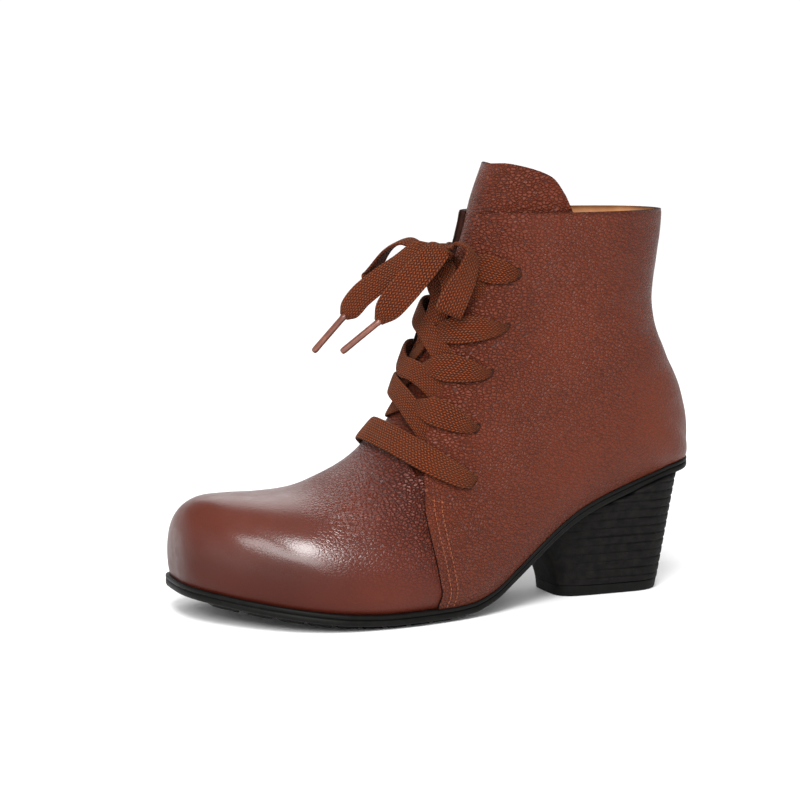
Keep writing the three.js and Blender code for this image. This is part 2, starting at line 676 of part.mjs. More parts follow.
function makeZip(group, metal) {
  const steps = 12;
  const [low, high] = [zipLow + 1, collarZ - 2];
  const height = (i) => low + ((high - low) * i) / steps;
  const route = Array.from({ length: steps + 1 }, (_, i) => zipPoint(height(i), -zipThick / 2 + 0.3));
  const chain = band(route, () => new THREE.Vector3(1, 0, 0), () => zipWidth, zipThick, 14);
  group.add(toMesh("zip_chain", chain, metal));

  const sliderZ = collarZ - 10;
  const skinY = zipPoint(sliderZ, 0).y;
  const plateIn = skinY - quarterWall - 0.9;
  const plateOut = plateIn - 1.4;
  const barY = plateOut - 2.1;
  const plate = block(8, plateIn - plateOut, 10, zipX, (plateIn + plateOut) / 2, sliderZ);
  const neckIn = skinY - 0.3 - gap;
  const neck = block(2.6, neckIn - plateIn + 0.5, 6, zipX, (neckIn + plateIn - 0.5) / 2, sliderZ);
  const bar = pin(0.7, 6, zipX, barY, sliderZ + 1);
  let slider = plate.add(neck).add(bar);
  for (const side of [-1, 1]) {
    const [ear, earY] = [plateOut - barY + 1.2, (plateOut + barY) / 2 - 0.3];
    slider = slider.add(block(1, ear, 2.6, zipX + side * 2.6, earY, sliderZ + 1));
  }
  group.add(toMesh("zip_slider", slider, metal));

  const ring = pin(1.8, 3.6, zipX, barY, sliderZ + 1);
  const leaf = block(pullWidth, 1.2, pullLength, zipX, barY, sliderZ - 1.9 - pullLength / 2);
  const neckLeaf = block(3.6, 1.2, 3, zipX, barY, sliderZ - 0.9);
  const pull = ring.add(neckLeaf).add(leaf).subtract(pin(1.05, 8, zipX, barY, sliderZ + 1));
  group.add(toMesh("zip_pull", pull, metal));
}

const black = new THREE.MeshStandardMaterial({ color: "#2b2a28", roughness: 0.6, metalness: 0 });
const leather = new THREE.MeshStandardMaterial({ color: "#824630", roughness: 0.45, metalness: 0 });
const lining = new THREE.MeshStandardMaterial({ color: "#a86a3c", roughness: 0.8, metalness: 0 });
const lace = new THREE.MeshStandardMaterial({ color: "#96552d", roughness: 0.9, metalness: 0 });
const plastic = new THREE.MeshStandardMaterial({ color: "#7a4632", roughness: 0.3, metalness: 0 });
const metal = new THREE.MeshStandardMaterial({ color: "#b8b4ac", roughness: 0.35, metalness: 1 });

const boot = new THREE.Group();
boot.add(toMesh("outsole", makeOutsole(), black));
boot.add(toMesh("heel", makeHeel(), black));
boot.add(toMesh("top_lift", loft([heelRing(0, 0.3), heelRing(liftHeight, 0.3)]), black));
boot.add(toMesh("insole", makeInsole(), lining));
boot.add(toMesh("upper", makeUpper(), leather));
boot.add(toMesh("tongue", makeTongue(), leather));
for (const hole of laceHoles) boot.add(toMesh(hole.name, makeLaceRow(hole), lace));
makeBow(boot, lace, plastic);
makeZip(boot, metal);

export default boot;
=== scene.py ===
import math
import bmesh
import bpy
import numpy as np
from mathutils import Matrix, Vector


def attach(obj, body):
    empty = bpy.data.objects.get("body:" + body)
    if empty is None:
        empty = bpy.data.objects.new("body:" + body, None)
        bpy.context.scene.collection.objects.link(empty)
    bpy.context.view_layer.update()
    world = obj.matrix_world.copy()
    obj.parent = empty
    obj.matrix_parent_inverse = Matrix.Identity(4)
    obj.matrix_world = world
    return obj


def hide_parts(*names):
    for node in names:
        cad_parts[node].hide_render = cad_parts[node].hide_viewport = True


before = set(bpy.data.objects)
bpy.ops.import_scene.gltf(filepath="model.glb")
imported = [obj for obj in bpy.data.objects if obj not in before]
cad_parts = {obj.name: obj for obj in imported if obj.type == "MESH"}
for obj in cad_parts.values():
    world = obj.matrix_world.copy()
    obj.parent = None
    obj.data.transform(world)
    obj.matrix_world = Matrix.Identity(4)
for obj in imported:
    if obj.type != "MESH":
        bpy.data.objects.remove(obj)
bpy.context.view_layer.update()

mm = 0.001


# camera at the photograph's angle
camera = dict(place=(0.5293, 1.0586, 0.245), aim=(0.080, 0.0, 0.085), focal=2487.5, pixels=800,
              shift=(-0.0561, 0.0265))


def makeCamera():
    data = bpy.data.cameras.new("photoCamera")
    data.sensor_width = 36
    data.lens = 36 * camera["focal"] / camera["pixels"]
    data.shift_x, data.shift_y = camera["shift"]
    data.clip_start = 0.05
    eye = bpy.data.objects.new("photoCamera", data)
    eye.location = camera["place"]
    look = Vector(camera["aim"]) - Vector(camera["place"])
    eye.rotation_euler = look.to_track_quat("-Z", "Y").to_euler()
    bpy.context.collection.objects.link(eye)
    bpy.context.scene.camera = eye
    return eye


makeCamera()
print("camera ready")

last = dict(length=248, ball=98, shaft=119, heel=57, spring=9.6, tread=1.6, edge=5.2, rim=1.8,
            wall=1.8, quarter=1.3, tuck=6, flap=23)
sectionColumns = "lowX lowUp highX highUp out inn swing lean belly low high".split()
sectionRows = np.array([
    (0.833, 0.116, 0.833, 0.116, 0, 0, -0.173, 0, 0.5, 2.2, 2.2),
    (0.829, 0.015, 0.829, 0.21, 0.125, 0.165, -0.173, 0, 0.45, 2.4, 2.1),
    (0.813, 0, 0.813, 0.286, 0.219, 0.265, -0.158, 0, 0.4, 2.8, 2.1),
    (0.78, 0, 0.78, 0.338, 0.316, 0.35, -0.122, 0.01, 0.37, 3.2, 2.2),
    (0.73, 0, 0.73, 0.364, 0.413, 0.398, -0.077, 0.02, 0.35, 3.6, 2.2),
    (0.673, 0, 0.673, 0.382, 0.474, 0.454, -0.031, 0.031, 0.34, 4, 2.2),
    (0.605, 0, 0.605, 0.418, 0.51, 0.474, 0, 0.041, 0.33, 4, 2.1),
    (0.532, 0, 0.54, 0.487, 0.51, 0.459, 0.02, 0.051, 0.32, 4, 2),
    (0.46, 0, 0.492, 0.556, 0.5, 0.434, 0.026, 0.051, 0.31, 4, 1.9),
    (0.387, 0, 0.452, 0.649, 0.469, 0.408, 0.031, 0.051, 0.31, 4, 1.85),
    (0.315, 0, 0.419, 0.739, 0.434, 0.378, 0.026, 0.041, 0.32, 4, 1.8),
    (0.242, 0, 0.397, 0.782, 0.388, 0.357, 0.02, 0.031, 0.34, 4, 1.8),
    (0.169, 0, 0.375, 0.794, 0.367, 0.342, 0.01, 0.02, 0.36, 3.9, 1.8),
    (0.089, 0, 0.355, 0.792, 0.347, 0.342, 0.005, 0.01, 0.38, 3.7, 1.85),
    (0, 0, 0.337, 0.805, 0.342, 0.337, 0, 0, 0.4, 3.4, 1.9),
    (-0.089, 0, 0.321, 0.825, 0.332, 0.327, 0, 0, 0.42, 3, 1.9),
    (-0.153, 0, 0.306, 0.857, 0.321, 0.321, 0, 0, 0.44, 2.6, 1.95),
    (-0.171, 0.055, 0.298, 0.895, 0.316, 0.316, 0, 0, 0.46, 2.3, 2),
    (-0.169, 0.172, 0.292, 0.937, 0.311, 0.311, 0, 0, 0.48, 2.2, 2),
    (-0.145, 0.331, 0.286, 0.987, 0.306, 0.306, 0, 0, 0.49, 2.2, 2),
    (-0.107, 0.504, 0.28, 1.042, 0.301, 0.301, 0, 0, 0.5, 2.2, 2.1),
    (-0.093, 0.655, 0.274, 1.092, 0.296, 0.296, 0, 0, 0.5, 2.2, 2.1),
    (-0.101, 0.803, 0.266, 1.134, 0.296, 0.296, 0, 0, 0.5, 2.2, 2.1),
    (-0.111, 0.948, 0.256, 1.183, 0.296, 0.296, 0, 0, 0.5, 2.2, 2.1),
    (-0.113, 1.098, 0.246, 1.233, 0.299, 0.299, 0, 0, 0.5, 2.2, 2.1),
    (-0.113, 1.233, 0.238, 1.283, 0.301, 0.301, 0, 0, 0.5, 2.2, 2.1),
])
seatRows = np.array([
    (-0.169, 0.995, 0), (-0.109, 0.951, 0), (-0.065, 0.898, 0), (-0.008, 0.825, 0), (0.044, 0.749, 0),
    (0.091, 0.663, 0), (0.137, 0.547, 0), (0.185, 0.396, 0), (0.238, 0.223, 0), (0.29, 0.08, 0),
    (0.339, 0.014, 0), (0.387, 0, 0), (0.5, 0, 0), (0.573, 0, 0.1), (0.621, 0, 0.23),
    (0.681, 0, 0.44), (0.742, 0, 0.66), (0.798, 0, 0.875), (0.835, 0, 1.02),
])
# front edge of the quarter: row along the sections, turn in degrees from the ridge
quarterEdge = np.array([
    (8.58, 150), (8.6, 118), (8.72, 99), (8.7, 80), (8.78, 64), (9.1, 53), (9.6, 43), (10.3, 35),
    (11.2, 28), (12.2, 22.5), (13.5, 19), (15.5, 17), (18, 16.5), (21, 16.5), (25, 16.5),
])
flapRows = np.array([
    (0.300, 0.97), (0.235, 1.0), (0.200, 0.92), (0.158, 0.75), (0.146, 0.66), (0.126, 0.36),
    (0.100, -0.12), (-0.200, -0.30),
])
lastRow = len(sectionRows) - 1


def smoothColumn(keys, values, at):
    # cubic pieces that never overshoot, straight past both ends
    at = np.asarray(at, float)
    slope = np.diff(values) / np.diff(keys)
    tangent = np.empty(len(keys))
    tangent[0], tangent[-1] = slope[0], slope[-1]
    before, after = slope[:-1], slope[1:]
    both = before * after
    tangent[1:-1] = np.where(both <= 0, 0, 2 * both / np.where(both <= 0, 1, before + after))
    i = np.clip(np.searchsorted(keys, at, side="left") - 1, 0, len(keys) - 2)
    span = keys[i + 1] - keys[i]
    t = (at - keys[i]) / span
    inner = (values[i] * (1 + 2 * t) * (1 - t) ** 2 + tangent[i] * span * t * (1 - t) ** 2
             + values[i + 1] * t * t * (3 - 2 * t) + tangent[i + 1] * span * t * t * (t - 1))
    low = values[0] + (at - keys[0]) * tangent[0]
    high = values[-1] + (at - keys[-1]) * tangent[-1]
    return np.where(at < keys[0], low, np.where(at > keys[-1], high, inner))


def seat(x):
    share = np.asarray(x, float) / last["length"]
    up = smoothColumn(seatRows[:, 0], seatRows[:, 1], share)
    spring = smoothColumn(seatRows[:, 0], seatRows[:, 2], share)
    return last["tread"] + last["edge"] + last["heel"] * up + last["spring"] * spring


collarZ = float(seat(-0.17 * last["length"])) + last["shaft"]


def sectionValues(row):
    row = np.clip(np.asarray(row, float), 0, lastRow)
    i = np.minimum(np.floor(row).astype(int), lastRow - 1)
    t = (row - i)[..., None]
    a, b, c, d = (sectionRows[np.clip(i + k, 0, lastRow)] for k in (-1, 0, 1, 2))
    mixed = b + 0.5 * t * (c - a + t * (2 * a - 5 * b + 4 * c - d + t * (3 * (b - c) + d - a)))
    return {name: mixed[..., k] for k, name in enumerate(sectionColumns)}


def powered(value, power):
    return np.sign(value) * np.abs(value) ** power


def bareLast(row, turn):
    row, turn = np.broadcast_arrays(np.asarray(row, float), np.asarray(turn, float))
    s = sectionValues(row)
    lowX, highX = s["lowX"] * last["length"], s["highX"] * last["length"]
    ground = seat(lowX)
    lowZ, highZ = ground + s["lowUp"] * last["shaft"], ground + s["highUp"] * last["shaft"]
    span = np.hypot(highX - lowX, highZ - lowZ)
    upX, upZ = (highX - lowX) / np.maximum(span, 1e-9), (highZ - lowZ) / np.maximum(span, 1e-9)
    under = last["tuck"] * np.minimum(1, row / 2) * (1 - np.clip((row - 15) / 2, 0, 1))
    height = span + under
    belly = s["belly"] * height
    power = 2 / np.where(np.cos(turn) > 0, s["high"], s["low"])
    wide, tall = powered(np.sin(turn), power), powered(np.cos(turn), power)
    half = np.where(wide > 0, s["out"], s["inn"])
    rise = belly + np.where(tall > 0, height - belly, belly) * tall - under
    shift = s["swing"] - s["lean"] * np.maximum(0, tall) ** 2
    return np.stack([lowX + upX * rise, (half * wide + shift) * last["ball"], lowZ + upZ * rise], -1)


def unit(v):
    return v / np.maximum(np.linalg.norm(v, axis=-1, keepdims=True), 1e-12)


def lastNormal(row, turn, step=0.02):
    row, turn = np.broadcast_arrays(np.asarray(row, float), np.asarray(turn, float))
    row = np.clip(row, 0.05, lastRow - 0.05)
    along = bareLast(row + step, turn) - bareLast(row - step, turn)
    around = bareLast(row, turn + step) - bareLast(row, turn - step)
    return unit(np.cross(around, along))


def onLast(row, turn, off=0.0):
    off = np.asarray(off, float)
    return bareLast(row, turn) + lastNormal(row, turn) * off[..., None]


def edgeAt(share):
    at = np.asarray(share, float) * (len(quarterEdge) - 1)
    keys = np.arange(len(quarterEdge), dtype=float)
    row = smoothColumn(keys, quarterEdge[:, 0], at)
    return row, np.radians(smoothColumn(keys, quarterEdge[:, 1], at))


def meshObject(name, points, faces, uvs=None, attributes=None, smooth=True):
    data = bpy.data.meshes.new(name)
    if isinstance(faces, np.ndarray):
        faces = faces.tolist()
    data.from_pydata((np.asarray(points) * mm).tolist(), [], faces)
    if uvs is not None:
        layer = data.uv_layers.new(name="UVMap")
        corner = np.empty(len(data.loops), dtype=np.int32)
        data.loops.foreach_get("vertex_index", corner)
        layer.data.foreach_set("uv", np.asarray(uvs, float)[corner].ravel())
    for key, values in (attributes or {}).items():
        layer = data.attributes.new(key, "FLOAT", "POINT")
        layer.data.foreach_set("value", np.asarray(values, float))
    if smooth:
        data.polygons.foreach_set("use_smooth", [True] * len(data.polygons))
    data.update()
    thing = bpy.data.objects.new(name, data)
    bpy.context.collection.objects.link(thing)
    return thing


def gridFaces(rows, columns, start=0, closed=False, flip=False):
    i, j = np.meshgrid(np.arange(rows - 1), np.arange(columns if closed else columns - 1), indexing="ij")
    nextJ = (j + 1) % columns
    here, after = i * columns, (i + 1) * columns
    quads = np.stack([here + j, here + nextJ, after + nextJ, after + j], -1).reshape(-1, 4) + start
    return quads[:, ::-1] if flip else quads


def troughs(points, normals, creases):
    # soft creases with low banks beside them: each runs from a to b, with its width and depth in mm
    moved = np.zeros(points.shape[:-1])
    for a, b, width, depth in creases:
        a, b = np.array(a, float), np.array(b, float)
        way = b - a
        t = np.clip(((points - a) @ way) / (way @ way), 0, 1)
        away = np.linalg.norm(points - (a + t[..., None] * way), axis=-1)
        fade = np.sin(np.pi * np.clip(t, 0.02, 0.98)) ** 0.6
        bank = 0.35 * np.exp(-((away - 2 * width) / width) ** 2)
        moved -= depth * fade * (np.exp(-(away / width) ** 2) - bank)
    return points + normals * moved[..., None]


def spline(points, count):
    # even steps on a smooth curve through the points; extra columns follow along
    points = np.asarray(points, float)
    padded = np.vstack([2 * points[0] - points[1], points, 2 * points[-1] - points[-2]])
    fine = []
    for i in range(1, len(padded) - 2):
        a, b, c, d = padded[i - 1:i + 3]
        t = np.linspace(0, 1, 40, endpoint=False)[:, None]
        fine.append(b + 0.5 * t * (c - a + t * (2 * a - 5 * b + 4 * c - d + t * (3 * (b - c) + d - a))))
    fine = np.vstack(fine + [points[-1:]])
    run = np.concatenate([[0], np.cumsum(np.linalg.norm(np.diff(fine[:, :3], axis=0), axis=1))])
    even = np.linspace(0, run[-1], count)
    return np.stack([np.interp(even, run, fine[:, k]) for k in range(fine.shape[1])], -1)


tapeSection = dict(around=20, flatPower=2 / 4.0, roundPower=2 / 2.3, patternWidth=12.0)


def ribbon(name, centres, flats, width, thick):
    # a woven tape: centres along it, flats are the directions out of its face
    around = tapeSection["around"]
    centres = np.asarray(centres, float)
    count = len(centres)
    along = unit(np.gradient(centres, axis=0))
    flats = unit(flats - along * np.sum(flats * along, -1, keepdims=True))
    side = np.cross(flats, along)
    width, thick = (np.broadcast_to(np.asarray(v, float), (count,)) for v in (width, thick))
    angle = np.linspace(0, 2 * np.pi, around, endpoint=False)
    a = powered(np.cos(angle), tapeSection["flatPower"])
    b = powered(np.sin(angle), tapeSection["roundPower"])
    rings = (centres[:, None] + side[:, None] * (a[None] * width[:, None] / 2)[..., None]
             + flats[:, None] * (b[None] * thick[:, None] / 2)[..., None])
    run = np.concatenate([[0], np.cumsum(np.linalg.norm(np.diff(centres, axis=0), axis=1))])
    uv = np.stack([np.broadcast_to(run[:, None] * mm, (count, around)),
                   np.broadcast_to(a[None] * tapeSection["patternWidth"] / 2 * mm, (count, around))], -1)
    points = rings.reshape(-1, 3)
    faces = gridFaces(count, around, closed=True).tolist()
    faces += [list(range(around))[::-1], [(count - 1) * around + k for k in range(around)]]
    thing = meshObject(name, points, faces, uv.reshape(-1, 2))
    thing.data.materials.append(cotton)
    return thing


def newMaterial(name):
    material = bpy.data.materials.new(name)
    material.use_nodes = True
    tree = material.node_tree
    return material, tree, tree.nodes["Principled BSDF"]


def addNode(tree, kind, **values):
    made = tree.nodes.new(kind)
    for key, value in values.items():
        if hasattr(made, key):
            setattr(made, key, value)
        else:
            made.inputs[key.replace("_", " ")].default_value = value
    return made


def linear(red, green, blue):
    def one(c):
        c = c / 255
        return c / 12.92 if c <= 0.04045 else ((c + 0.055) / 1.055) ** 2.4
    return (one(red), one(green), one(blue), 1)


def mixColour(tree, factor, a, b, blend="MIX"):
    mix = tree.nodes.new("ShaderNodeMix")
    mix.data_type = "RGBA"
    mix.blend_type = blend
    for socket, value in ((mix.inputs[0], factor), (mix.inputs[6], a), (mix.inputs[7], b)):
        if isinstance(value, (float, int, tuple)):
            socket.default_value = value
        else:
            tree.links.new(value, socket)
    return mix.outputs[2]


def mathNode(tree, operation, a, b=0.5, clamp=False):
    made = tree.nodes.new("ShaderNodeMath")
    made.operation = operation
    made.use_clamp = clamp
    for socket, value in zip(made.inputs, (a, b)):
        if isinstance(value, (float, int)):
            socket.default_value = value
        else:
            tree.links.new(value, socket)
    return made.outputs[0]


def remap(tree, value, low, high, toLow=0.0, toHigh=1.0):
    made = addNode(tree, "ShaderNodeMapRange")
    tree.links.new(value, made.inputs[0])
    for k, v in enumerate((low, high, toLow, toHigh)):
        made.inputs[1 + k].default_value = v
    return made.outputs[0]


def attribute(tree, name):
    made = tree.nodes.new("ShaderNodeAttribute")
    made.attribute_name = name
    return made.outputs["Fac"]


def objectNoise(tree, scale, detail=2.0, rough=0.5, vector=None):
    made = addNode(tree, "ShaderNodeTexNoise", Scale=scale, Detail=detail, Roughness=rough)
    if vector is None:
        vector = tree.nodes.new("ShaderNodeTexCoord").outputs["Object"]
    tree.links.new(vector, made.inputs["Vector"])
    return made.outputs[0]


def bumped(tree, shader, layers):
    normal = None
    for height, distance, strength in layers:
        made = tree.nodes.new("ShaderNodeBump")
        made.inputs["Distance"].default_value = distance
        if isinstance(strength, float):
            made.inputs["Strength"].default_value = strength
        else:
            tree.links.new(strength, made.inputs["Strength"])
        tree.links.new(height, made.inputs["Height"])
        if normal is not None:
            tree.links.new(normal, made.inputs["Normal"])
        normal = made.outputs[0]
    tree.links.new(normal, shader.inputs["Normal"])


leather = dict(side=(85, 35, 18), deep=(80, 33, 22), toe=(60, 20, 11), creviceShade=(30, 11, 7),
               lightTone=(124, 68, 46), faded=(1.35, 1.32, 1.3, 1), paintedTopLight=0.05, patch=26.0, patchShare=0.5,
               cell=510.0, smallCell=2.1, flatten=1.5, wander=330.0, drift=0.0014, dome=0.24, smallDome=0.2,
               grain=0.0008, smallGrain=0.00012, pores=2600.0, poreDepth=0.00004, gloss=0.38,
               polishCoat=0.95, coatLeast=0.02, coatRoughness=0.22, specular=0.16)


def leatherMaterial(name):
    # the mesh attributes grain, polish and deep, and the toe's darkening, say how pebbled, polished and dark
    # the leather is; the toe's darkening is partly its darker tone and partly painted shade on its lower
    # part
    material, tree, shader = newMaterial(name)
    link = tree.links.new
    coord = tree.nodes.new("ShaderNodeTexCoord").outputs["Object"]
    wander = addNode(tree, "ShaderNodeTexNoise", Scale=leather["wander"])
    link(coord, wander.inputs["Vector"])
    shifted = addNode(tree, "ShaderNodeVectorMath", operation="MULTIPLY_ADD")
    link(wander.outputs[1], shifted.inputs[0])
    shifted.inputs[1].default_value = (leather["drift"],) * 3
    link(coord, shifted.inputs[2])
    squeezed = addNode(tree, "ShaderNodeMapping")
    squeezed.inputs["Scale"].default_value = (1, 1, leather["flatten"])
    link(shifted.outputs[0], squeezed.inputs["Vector"])
    domes = []
    for scale, wide in ((leather["cell"], leather["dome"]),
                        (leather["cell"] * leather["smallCell"], leather["smallDome"])):
        pebbles = addNode(tree, "ShaderNodeTexVoronoi", feature="DISTANCE_TO_EDGE", Scale=scale)
        link(squeezed.outputs[0], pebbles.inputs["Vector"])
        domes.append(remap(tree, pebbles.outputs["Distance"], 0.0, wide))
    dome, fine = domes
    grain, polish, burnishAndShade, deep = (attribute(tree, key) for key in ("grain", "polish", "burnishAndShade", "deep"))
    patches = remap(tree, objectNoise(tree, leather["patch"], 4.0, 0.6), 0.35, 0.68)
    base = mixColour(tree, deep, linear(*leather["side"]), linear(*leather["deep"]))
    # the toe's darker tone, and painted shade darker still on its lower part
    base = mixColour(tree, burnishAndShade, base, linear(*leather["toe"]))
    lighter = mixColour(tree, 1.0, base, leather["faded"], "MULTIPLY")
    base = mixColour(tree, mathNode(tree, "MULTIPLY", patches, leather["patchShare"]), base, lighter)
    # painted highlight: the tops of the pebbles a little lighter
    topLightShare = mathNode(tree, "MULTIPLY", grain, leather["paintedTopLight"])
    paintedTopLight = mathNode(tree, "MULTIPLY", remap(tree, dome, 0.6, 1.0), topLightShare)
    base = mixColour(tree, paintedTopLight, base, linear(*leather["lightTone"]))
    # painted shade in the gaps between the pebbles, uneven in strength
    uneven = mathNode(tree, "ADD", mathNode(tree, "MULTIPLY", patches, -0.5), 1.35)
    creased = mathNode(tree, "MULTIPLY", grain, uneven, clamp=True)
    shade = mathNode(tree, "MULTIPLY", remap(tree, dome, 0.42, 0.0), creased)
    base = mixColour(tree, shade, base, linear(*leather["creviceShade"]))
    link(base, shader.inputs["Base Color"])
    dull = leather["gloss"]
    wobble = remap(tree, objectNoise(tree, 160.0, 2.0), 0.3, 0.7, dull - 0.03, dull + 0.07)
    link(mathNode(tree, "ADD", wobble, mathNode(tree, "MULTIPLY", polish, -0.1)), shader.inputs["Roughness"])
    wax = mathNode(tree, "MULTIPLY", polish, leather["polishCoat"])
    link(mathNode(tree, "ADD", wax, leather["coatLeast"]), shader.inputs["Coat Weight"])
    shader.inputs["Coat Roughness"].default_value = leather["coatRoughness"]
    shader.inputs["Specular IOR Level"].default_value = leather["specular"]
    bumped(tree, shader, [
        (dome, leather["grain"], grain),
        (fine, leather["smallGrain"], mathNode(tree, "ADD", mathNode(tree, "MULTIPLY", grain, 0.35), 0.04)),
        (objectNoise(tree, leather["pores"], 3.0, 0.6), leather["poreDepth"], 0.1),
    ])
    link(shader.inputs["Normal"].links[0].from_socket, shader.inputs["Coat Normal"])
    return material


def plainMaterial(name, colour, dark, rough, noiseScale, bump, coat=0.0, metallic=0.0, sheen=0.0):
    material, tree, shader = newMaterial(name)
    noise = objectNoise(tree, noiseScale, 4.0, 0.6)
    mixed = mixColour(tree, remap(tree, noise, 0.35, 0.7), linear(*dark), linear(*colour))
    tree.links.new(mixed, shader.inputs["Base Color"])
    tree.links.new(remap(tree, noise, 0.3, 0.7, rough - 0.06, rough + 0.06), shader.inputs["Roughness"])
    shader.inputs["Coat Weight"].default_value = coat
    shader.inputs["Metallic"].default_value = metallic
    shader.inputs["Specular IOR Level"].default_value = 0.5 if metallic or coat else 0.1
    shader.inputs["Sheen Weight"].default_value = sheen
    fine = objectNoise(tree, noiseScale * 9, 4.0, 0.7)
    bumped(tree, shader, [(noise, bump, 0.5), (fine, bump * 0.4, 0.5)])
    return material


weave = dict(light=(140, 68, 34), mid=(85, 34, 14), dark=(36, 14, 7), lightTone=(96, 44, 22), wornShare=0.3,
             sheen=(230, 170, 120), across=1.1, along=1.75, slant=1.5, stray=1.4, fuzz=1500.0,
             fuzzShare=0.8, depth=0.0008, fuzzDepth=0.0002, rough=0.92, specular=0.15)


def laceMaterial(name):
    # plaited cotton: slanting stitches in lengthwise ribs, from the tape's own coordinates
    material, tree, shader = newMaterial(name)
    link = tree.links.new
    uv = tree.nodes.new("ShaderNodeTexCoord").outputs["UV"]
    parts = tree.nodes.new("ShaderNodeSeparateXYZ")
    link(uv, parts.inputs[0])
    fuzz = objectNoise(tree, weave["fuzz"], 4.0, 0.7)
    stray = mathNode(tree, "SUBTRACT", objectNoise(tree, 420.0, 2.0), 0.5)
    stray = mathNode(tree, "MULTIPLY", stray, weave["stray"])
    across = mathNode(tree, "MULTIPLY", parts.outputs[1], math.pi / (weave["across"] * mm))
    rib = mathNode(tree, "ABSOLUTE", mathNode(tree, "COSINE", across))
    # neighbouring ribs slant opposite ways, half a stitch apart
    slant = mathNode(tree, "MULTIPLY", mathNode(tree, "SINE", across), weave["slant"])
    along = mathNode(tree, "MULTIPLY", parts.outputs[0], 2 * math.pi / (weave["along"] * mm))
    phase = mathNode(tree, "ADD", mathNode(tree, "ADD", along, slant), stray)
    other = mathNode(tree, "SIGN", mathNode(tree, "COSINE", across))
    phase = mathNode(tree, "ADD", phase, mathNode(tree, "MULTIPLY", other, math.pi / 2))
    stitch = remap(tree, mathNode(tree, "SINE", phase), -1.0, 0.75)
    raised = mathNode(tree, "ADD", mathNode(tree, "MULTIPLY", stitch, 0.75), 0.25)
    height = mathNode(tree, "MULTIPLY", mathNode(tree, "POWER", rib, 0.6), raised)
    loose = mathNode(tree, "MULTIPLY", mathNode(tree, "SUBTRACT", fuzz, 0.5), weave["fuzzShare"])
    # painted shade in the gaps between the ribs and stitches and painted highlight on the stitch tops, mixed
    # with loose fibres of random tone
    shade = mathNode(tree, "ADD", height, loose)
    base = mixColour(tree, remap(tree, shade, 0.05, 0.6), linear(*weave["dark"]), linear(*weave["mid"]))
    base = mixColour(tree, remap(tree, shade, 0.62, 1.1), base, linear(*weave["light"]))
    # lighter worn patches of the cotton, at random
    lightTone = remap(tree, objectNoise(tree, 60.0, 3.0), 0.4, 0.7)
    lightTone = mathNode(tree, "MULTIPLY", lightTone, weave["wornShare"])
    base = mixColour(tree, lightTone, base, linear(*weave["lightTone"]))
    link(base, shader.inputs["Base Color"])
    shader.inputs["Roughness"].default_value = weave["rough"]
    shader.inputs["Sheen Weight"].default_value = 0.1
    shader.inputs["Sheen Roughness"].default_value = 0.4
    shader.inputs["Sheen Tint"].default_value = linear(*weave["sheen"])
    shader.inputs["Specular IOR Level"].default_value = weave["specular"]
    bumped(tree, shader, [(height, weave["depth"], 1.0), (fuzz, weave["fuzzDepth"], 0.6)])
    return material


upperLeather = leatherMaterial("waxedLeather")
liningLeather = plainMaterial("tanLining", (186, 134, 92), (160, 110, 72), 0.75, 90.0, 0.0002)
rawEdge = plainMaterial("cutEdge", (52, 25, 18), (28, 13, 10), 0.8, 500.0, 0.0003)
cotton = laceMaterial("plaitedCotton")
thread = plainMaterial("rustThread", (150, 84, 50), (112, 58, 33), 0.7, 1500.0, 0.0001, sheen=0.2)
soleBlack = plainMaterial("soleRubber", (17, 16, 15), (9, 9, 8), 0.5, 160.0, 0.0002)
heelBlack = plainMaterial("stackedHeel", (24, 22, 21), (8, 7, 7), 0.72, 260.0, 0.0006)
liftBlack = plainMaterial("topLift", (18, 17, 16), (9, 9, 8), 0.62, 220.0, 0.0002)
agletPlastic = plainMaterial("agletPlastic", (112, 58, 38), (88, 42, 26), 0.25, 300.0, 0.00005, coat=0.5)
zipSteel = plainMaterial("zipSteel", (190, 187, 180), (140, 138, 132), 0.3, 400.0, 0.00005, metallic=1.0)
zipTape = plainMaterial("zipTape", (56, 30, 22), (36, 18, 13), 0.85, 900.0, 0.0002)
print("materials ready")

vampSizes = dict(rows=150, around=220, throat=46, throatEnd=14, throatRow=9.0, underQuarter=10.4, thick=1.7,
                 pole=0.02, pleats=7, pleatTurn=0.6, pleatRow=2.6, pleatSpan=1.2, pleatRise=0.15)
# soft creases of the vamp: from, to, width, depth in mm
vampCreases = [
    ((197, 18, 36), (204, 12, 16), 9.0, 0.35), ((178, 30, 42), (192, 32, 14), 9.0, 0.7),
    ((172, 44, 34), (178, 43, 12), 9.0, 0.4), ((196, -28, 36), (203, -34, 16), 9.0, 0.35),
    ((128, 30, 56), (150, 40, 36), 6.0, 0.5), ((122, 8, 66), (134, 40, 40), 5.0, 0.35),
    ((124, -24, 56), (140, -36, 36), 6.0, 0.5),
]


def flattenUnder(points, sink=0.6):
    # nothing of the upper goes deeper than this under the seat line
    floor = seat(points[..., 0]) - sink
    points[..., 2] = np.maximum(points[..., 2], floor)
    return points


# where the leather changes, in mm: each pair is where a change starts and the way it takes
finish = dict(shaft=(60, 60), toe=(122, 50), shine=(126, 34), tip=(188, 14), tipShine=0.15,
              bands=((39, 10, 1.0), (52, 9, 0.35)), backShine=0.22, backShineX=(150, -30),
              backShineZ=(30, 20), burntAll=0.35, lowToeShade=(46, -18), smooth=(108, 54), lowGrain=(8, 34),
              front=(40, 45), heelX=(5, -30), heelZ=(125, -20), tongueGrain=0.75, sideGrain=0.42)


def ramp(value, place):
    start, way = finish[place]
    return np.clip((value - start) / way, 0, 1)


